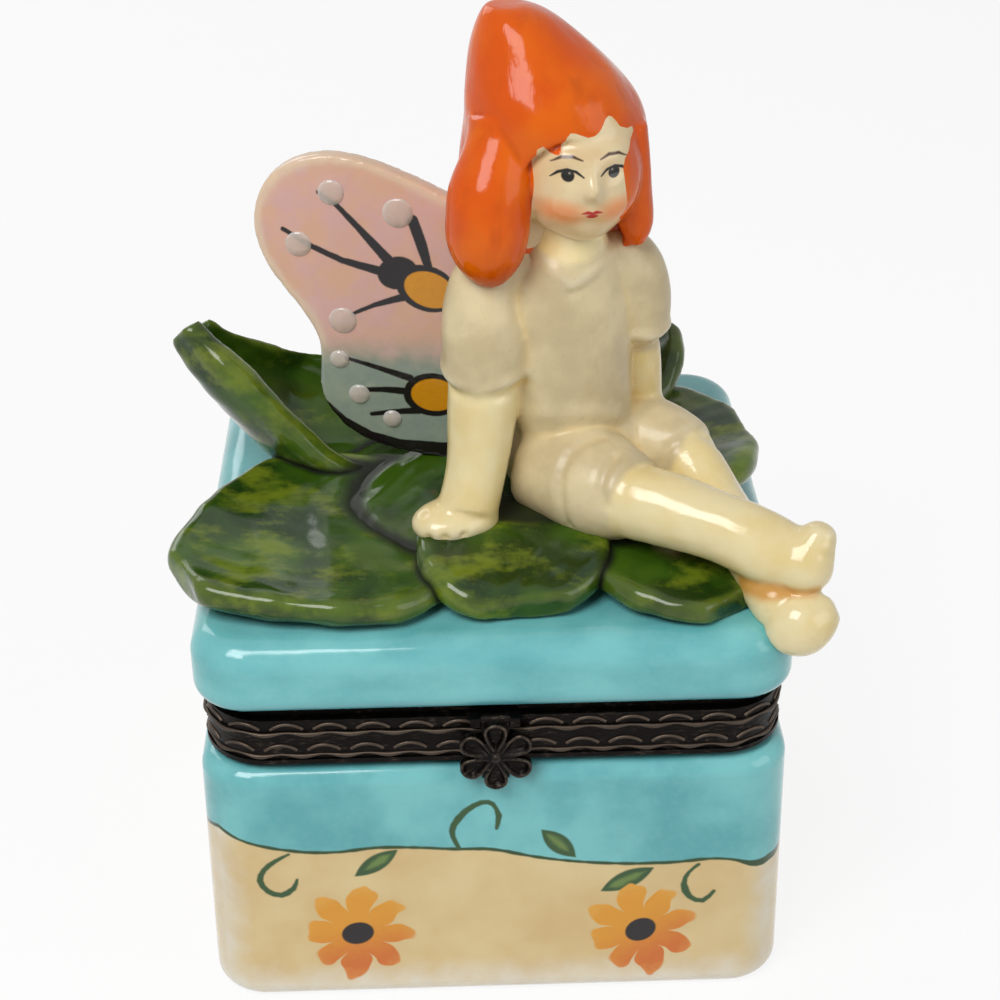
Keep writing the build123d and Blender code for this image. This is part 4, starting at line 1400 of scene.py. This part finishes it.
@dataclass
class HeadAndHair:
    """The head and hair, modelled as one and then parted along the painted hairline."""

    grain: float = 0.22
    centre: Place = (8.0, -7.4, 73.2)
    opening_heading: float = 19.0
    heading: float = 9.0
    block_reach: float = 12.0
    block_depth: float = 12.2

    def build(self) -> None:
        """Models both and glazes them."""
        whole = clay_copy("fairy_head_and_hair", ["fairy_head", "fairy_hair"], self.grain, 0.1, 6)
        clay = Clay(whole)
        self.shape_face(clay)
        clay.push(0.08 * waves(clay.points, 5.0, 8))
        clay.mark_hollows(24, 0.3)
        clay.mark("fringe", np.zeros(clay.count))
        face, hair = self.part(whole)
        soften(face, 50.0)
        soften(hair, 50.0)
        dress(face, FacePaint().material())
        dress(hair, HairGlaze().material())
        place_piece(face, Body.LID, Slot.FIGURE, "fairy_head")
        place_piece(hair, Body.LID, Slot.HAIR, "fairy_hair")

    def local(self, points: np.ndarray, heading: float) -> np.ndarray:
        """Points seen from the head's centre, with Y towards the back of the head."""
        angle = math.radians(heading)
        rest = points - np.array(self.centre)
        x = rest[:, 0] * math.cos(angle) + rest[:, 1] * math.sin(angle)
        y = -rest[:, 0] * math.sin(angle) + rest[:, 1] * math.cos(angle)
        return np.stack([x, y, rest[:, 2]], 1)

    def shape_face(self, clay: Clay) -> None:
        """Raises the nose, cheeks, lips and chin and presses in the eye hollows."""
        local = self.local(clay.points, self.heading)
        front = np.clip(-local[:, 1] / 2.0, 0, 1)
        opening = self.local(clay.points, self.opening_heading)
        within = np.clip((4.3 - np.abs(opening[:, 0])) / 0.6, 0, 1) * front
        within *= np.clip((4.4 - local[:, 2]) / 0.6, 0, 1)

        def swell(x: float, z: float, wide: float, high: float, amount: float) -> np.ndarray:
            """One soft swelling on the face."""
            return amount * np.exp(-(((local[:, 0] - x) / wide) ** 2) - ((local[:, 2] - z) / high) ** 2)

        move = swell(0, 0.75, 0.75, 0.85, 0.75) + swell(0, 1.9, 0.5, 1.1, 0.25)
        move += swell(0, -1.25, 1.0, 0.55, 0.28) + swell(0, -3.7, 1.6, 1.1, 0.4)
        for side in (-1, 1):
            move += swell(side * 1.9, 2.0, 1.0, 0.7, -0.28) + swell(side * 2.5, -0.9, 1.4, 1.3, 0.3)
            move += swell(side * 1.8, 3.3, 1.3, 0.6, 0.15)
        clay.push(move * within)

    def part(self, whole: Piece) -> tuple[Piece, Piece]:
        """Parts the head from the hair along the hairline."""
        face = whole
        face.name = "fairy_head_painted"
        hair = whole.copy()
        hair.data = whole.data.copy()
        bpy.context.scene.collection.objects.link(hair)
        hair.name = "fairy_hair_glazed"
        cutter = self.hairline()
        modify(face, "BOOLEAN", operation="INTERSECT", object=cutter, solver="EXACT")
        modify(hair, "BOOLEAN", operation="DIFFERENCE", object=cutter, solver="EXACT")
        bpy.data.objects.remove(cutter)
        return face, hair

    def hairline(self) -> Piece:
        """A block whose outline is the face up to the painted fringe."""
        outline = [
            (-5.1, -5.7), (2.9, -5.7), (2.4, -3.0), (1.75, -2.1), (2.05, -1.7), (2.35, -1.0), (2.2, 0.4),
            (2.05, 2.1), (2.25, 2.85), (2.8, 3.3), (3.3, 3.85), (3.8, 4.45), (3.7, 4.8), (3.05, 4.86),
            (2.3, 5.2), (1.95, 5.7), (1.6, 6.1), (1.27, 6.22), (0.95, 6.05), (0.75, 5.8), (0.45, 5.4),
            (0.2, 5.15), (-0.2, 4.9), (-0.75, 4.84), (-1.3, 5.06), (-1.85, 5.3), (-2.25, 5.34), (-2.55, 5.0),
            (-2.85, 4.25), (-3.0, 3.8), (-3.15, 3.6), (-3.4, 3.55), (-3.7, 3.65), (-4.05, 4.0),
            (-4.4, 4.32), (-4.8, 4.0),
        ]
        mesh = bmesh.new()
        angle = math.radians(self.opening_heading)
        right = Vector((math.cos(angle), math.sin(angle), 0.0))
        ahead = Vector((math.sin(angle), -math.cos(angle), 0.0))
        middle = Vector(self.centre)
        front = middle + ahead * self.block_reach
        near = [mesh.verts.new((front + right * x + Vector((0, 0, z))) * MM) for x, z in outline]
        face = mesh.faces.new(near)
        swept = bmesh.ops.extrude_face_region(mesh, geom=[face])
        moved = [item for item in swept["geom"] if isinstance(item, bmesh.types.BMVert)]
        bmesh.ops.translate(mesh, verts=moved, vec=-ahead * self.block_depth * MM)
        bmesh.ops.recalc_face_normals(mesh, faces=mesh.faces)
        data = bpy.data.meshes.new("hairline")
        mesh.to_mesh(data)
        mesh.free()
        piece = bpy.data.objects.new("hairline", data)
        bpy.context.scene.collection.objects.link(piece)
        return piece


@dataclass
class Wings:
    """The two wings, softened at their edges, and the clear drops on them."""

    grain: float = 0.24
    drop_grain: float = 0.09
    thickness: float = 1.5

    def build(self) -> None:
        """Models both wings and dresses the drops."""
        right = WingPaint("right_wing_paint", (2.2, -1.6), 171.0)
        left = WingPaint("left_wing_paint", (4.4, -0.6), 76.0)
        for node, paint in (("fairy_right_wing", right), ("fairy_left_wing", left)):
            piece = clay_copy(f"{node}_painted", [node], self.grain, 0.15, 5)
            clay = Clay(piece)
            clay.mark_hollows(20, 0.3)
            clay.mark("border", self.border(clay, paint))
            soften(piece, 60.0)
            dress(piece, paint.material())
            place_piece(piece, Body.LID, Slot.WING, node)
            log.info("%s: %d faces", piece.name, len(piece.data.polygons))
        clear = ClearDrop().material()
        for node in ("right_wing_drops", "left_wing_drops"):
            piece = clay_copy(f"{node}_cast", [node], self.drop_grain, 0.03, 2)
            Clay(piece).mark_hollows(10, 0.04)
            soften(piece, 60.0)
            dress(piece, clear)
            place_piece(piece, Body.LID, Slot.DROP, node)

    def border(self, clay: Clay, paint: WingPaint) -> np.ndarray:
        """1 at the wing's edge, falling to 0 some way in."""
        angle = math.radians(paint.heading)
        rest = clay.points - np.array((*paint.root, 0.0))
        depth = -rest[:, 0] * math.sin(angle) + rest[:, 1] * math.cos(angle)
        rim = np.clip(1 - np.abs(depth) / (self.thickness / 2), 0, 1) > 0.25
        return np.clip(clay.blurred(rim.astype(float), 60) * 4, 0, 1)


# Studio


@dataclass(frozen=True)
class Lamp:
    """A square soft lamp: where it stands, what it faces, its side in metres and its power."""

    name: str
    place: Place
    aim: Place
    size: float
    power: float


@dataclass
class Studio:
    """The camera, the floor and the soft lights."""

    eye: Place = (-3.2, -172.2, 136.8)
    yaw: float = 1.50
    pitch: float = 29.86
    roll: float = -0.62
    lens: float = 75.0
    white: float = 1.0
    dim: float = 0.2
    glow_share: float = 0.88
    lamps: tuple = (
        Lamp("key_light", (-170.0, -260.0, 420.0), (0.0, 0.0, 40.0), 0.24, 1.7),
        Lamp("fill_light", (420.0, -260.0, 240.0), (0.0, 0.0, 30.0), 0.35, 0.7),
        Lamp("back_light", (-260.0, 420.0, 330.0), (0.0, 0.0, 40.0), 0.3, 0.62),
    )

    def build(self) -> None:
        """Sets up the whole studio."""
        self.camera()
        self.floor()
        self.world()
        for lamp in self.lamps:
            self.light(lamp)
        bpy.context.scene.view_settings.view_transform = "Standard"

    def camera(self) -> None:
        """Stands the camera where the photograph was taken from."""
        yaw, pitch, roll = (math.radians(a) for a in (self.yaw, self.pitch, self.roll))
        ahead = Vector((math.sin(yaw) * math.cos(pitch), math.cos(yaw) * math.cos(pitch), -math.sin(pitch)))
        right = Vector((math.cos(yaw), -math.sin(yaw), 0.0))
        up = right.cross(ahead)
        across = math.cos(roll) * right + math.sin(roll) * up
        high = -math.sin(roll) * right + math.cos(roll) * up
        data = bpy.data.cameras.new("camera")
        data.lens = self.lens
        data.sensor_width = 36.0
        data.sensor_fit = "HORIZONTAL"
        data.clip_start = 0.01
        camera = bpy.data.objects.new("camera", data)
        turn = Matrix((across, high, -ahead)).transposed().to_4x4()
        camera.matrix_world = Matrix.Translation(Vector(self.eye) * MM) @ turn
        bpy.context.scene.collection.objects.link(camera)
        bpy.context.scene.camera = camera

    def light(self, lamp: Lamp) -> None:
        """Hangs a lamp and turns it to what it faces."""
        data = bpy.data.lights.new(lamp.name, "AREA")
        data.shape = "SQUARE"
        data.size = lamp.size
        data.energy = lamp.power
        piece = bpy.data.objects.new(lamp.name, data)
        start, end = Vector(lamp.place) * MM, Vector(lamp.aim) * MM
        turn = (start - end).to_track_quat("Z", "Y").to_matrix().to_4x4()
        piece.matrix_world = Matrix.Translation(start) @ turn
        bpy.context.scene.collection.objects.link(piece)

    def seen(self, tree: bpy.types.NodeTree) -> Socket:
        """1 for the rays that show the background itself: from the camera, in gloss and through glass."""
        path = tree.nodes.new("ShaderNodeLightPath")
        result = path.outputs["Is Camera Ray"]
        for name in ("Is Glossy Ray", "Is Transmission Ray"):
            node = tree.nodes.new("ShaderNodeMath")
            node.operation = "MAXIMUM"
            tree.links.new(result, node.inputs[0])
            tree.links.new(path.outputs[name], node.inputs[1])
            result = node.outputs[0]
        return result

    def floor(self) -> None:
        """Lays a plain pale floor that keeps the object's shadow."""
        bpy.ops.object.select_all(action="DESELECT")
        bpy.ops.mesh.primitive_plane_add(size=6.0)
        floor = bpy.context.object
        floor.name = "floor"
        material = bpy.data.materials.new("pale_floor")
        material.use_nodes = True
        tree = material.node_tree
        tree.nodes.clear()
        matte = tree.nodes.new("ShaderNodeBsdfDiffuse")
        matte.inputs["Color"].default_value = (0.9, 0.9, 0.9, 1.0)
        glow = tree.nodes.new("ShaderNodeEmission")
        glow.inputs["Color"].default_value = (1.0, 1.0, 1.0, 1.0)
        glow.inputs["Strength"].default_value = self.white
        share = tree.nodes.new("ShaderNodeMath")
        share.operation = "MULTIPLY"
        tree.links.new(self.seen(tree), share.inputs[0])
        share.inputs[1].default_value = self.glow_share
        blend = tree.nodes.new("ShaderNodeMixShader")
        tree.links.new(share.outputs[0], blend.inputs[0])
        tree.links.new(matte.outputs[0], blend.inputs[1])
        tree.links.new(glow.outputs[0], blend.inputs[2])
        output = tree.nodes.new("ShaderNodeOutputMaterial")
        tree.links.new(blend.outputs[0], output.inputs["Surface"])
        floor.data.materials.append(material)

    def world(self) -> None:
        """Surrounds the scene with even light, white where it is seen."""
        world = bpy.data.worlds.new("studio")
        world.use_nodes = True
        tree = world.node_tree
        tree.nodes.clear()
        sky = tree.nodes.new("ShaderNodeBackground")
        strength = tree.nodes.new("ShaderNodeMapRange")
        tree.links.new(self.seen(tree), strength.inputs["Value"])
        strength.inputs["To Min"].default_value = self.dim
        strength.inputs["To Max"].default_value = self.white
        tree.links.new(strength.outputs[0], sky.inputs["Strength"])
        output = tree.nodes.new("ShaderNodeOutputWorld")
        tree.links.new(sky.outputs[0], output.inputs["Surface"])
        bpy.context.scene.world = world


def main() -> None:
    """Builds the sub-assemblies in order."""
    logging.basicConfig(level=logging.INFO, format="%(name)s: %(message)s")
    Studio().build()
    log.info("studio ready")
    PorcelainBox().dress()
    log.info("box and lid glazed")
    MetalWork().build()
    ClaspFlower().build()
    log.info("metal work done")
    LeafBed().build()
    Wings().build()
    Figure().build()
    log.info("body modelled")
    HeadAndHair().build()
    log.info("head and hair modelled")


if __name__ == "__main__":
    main()
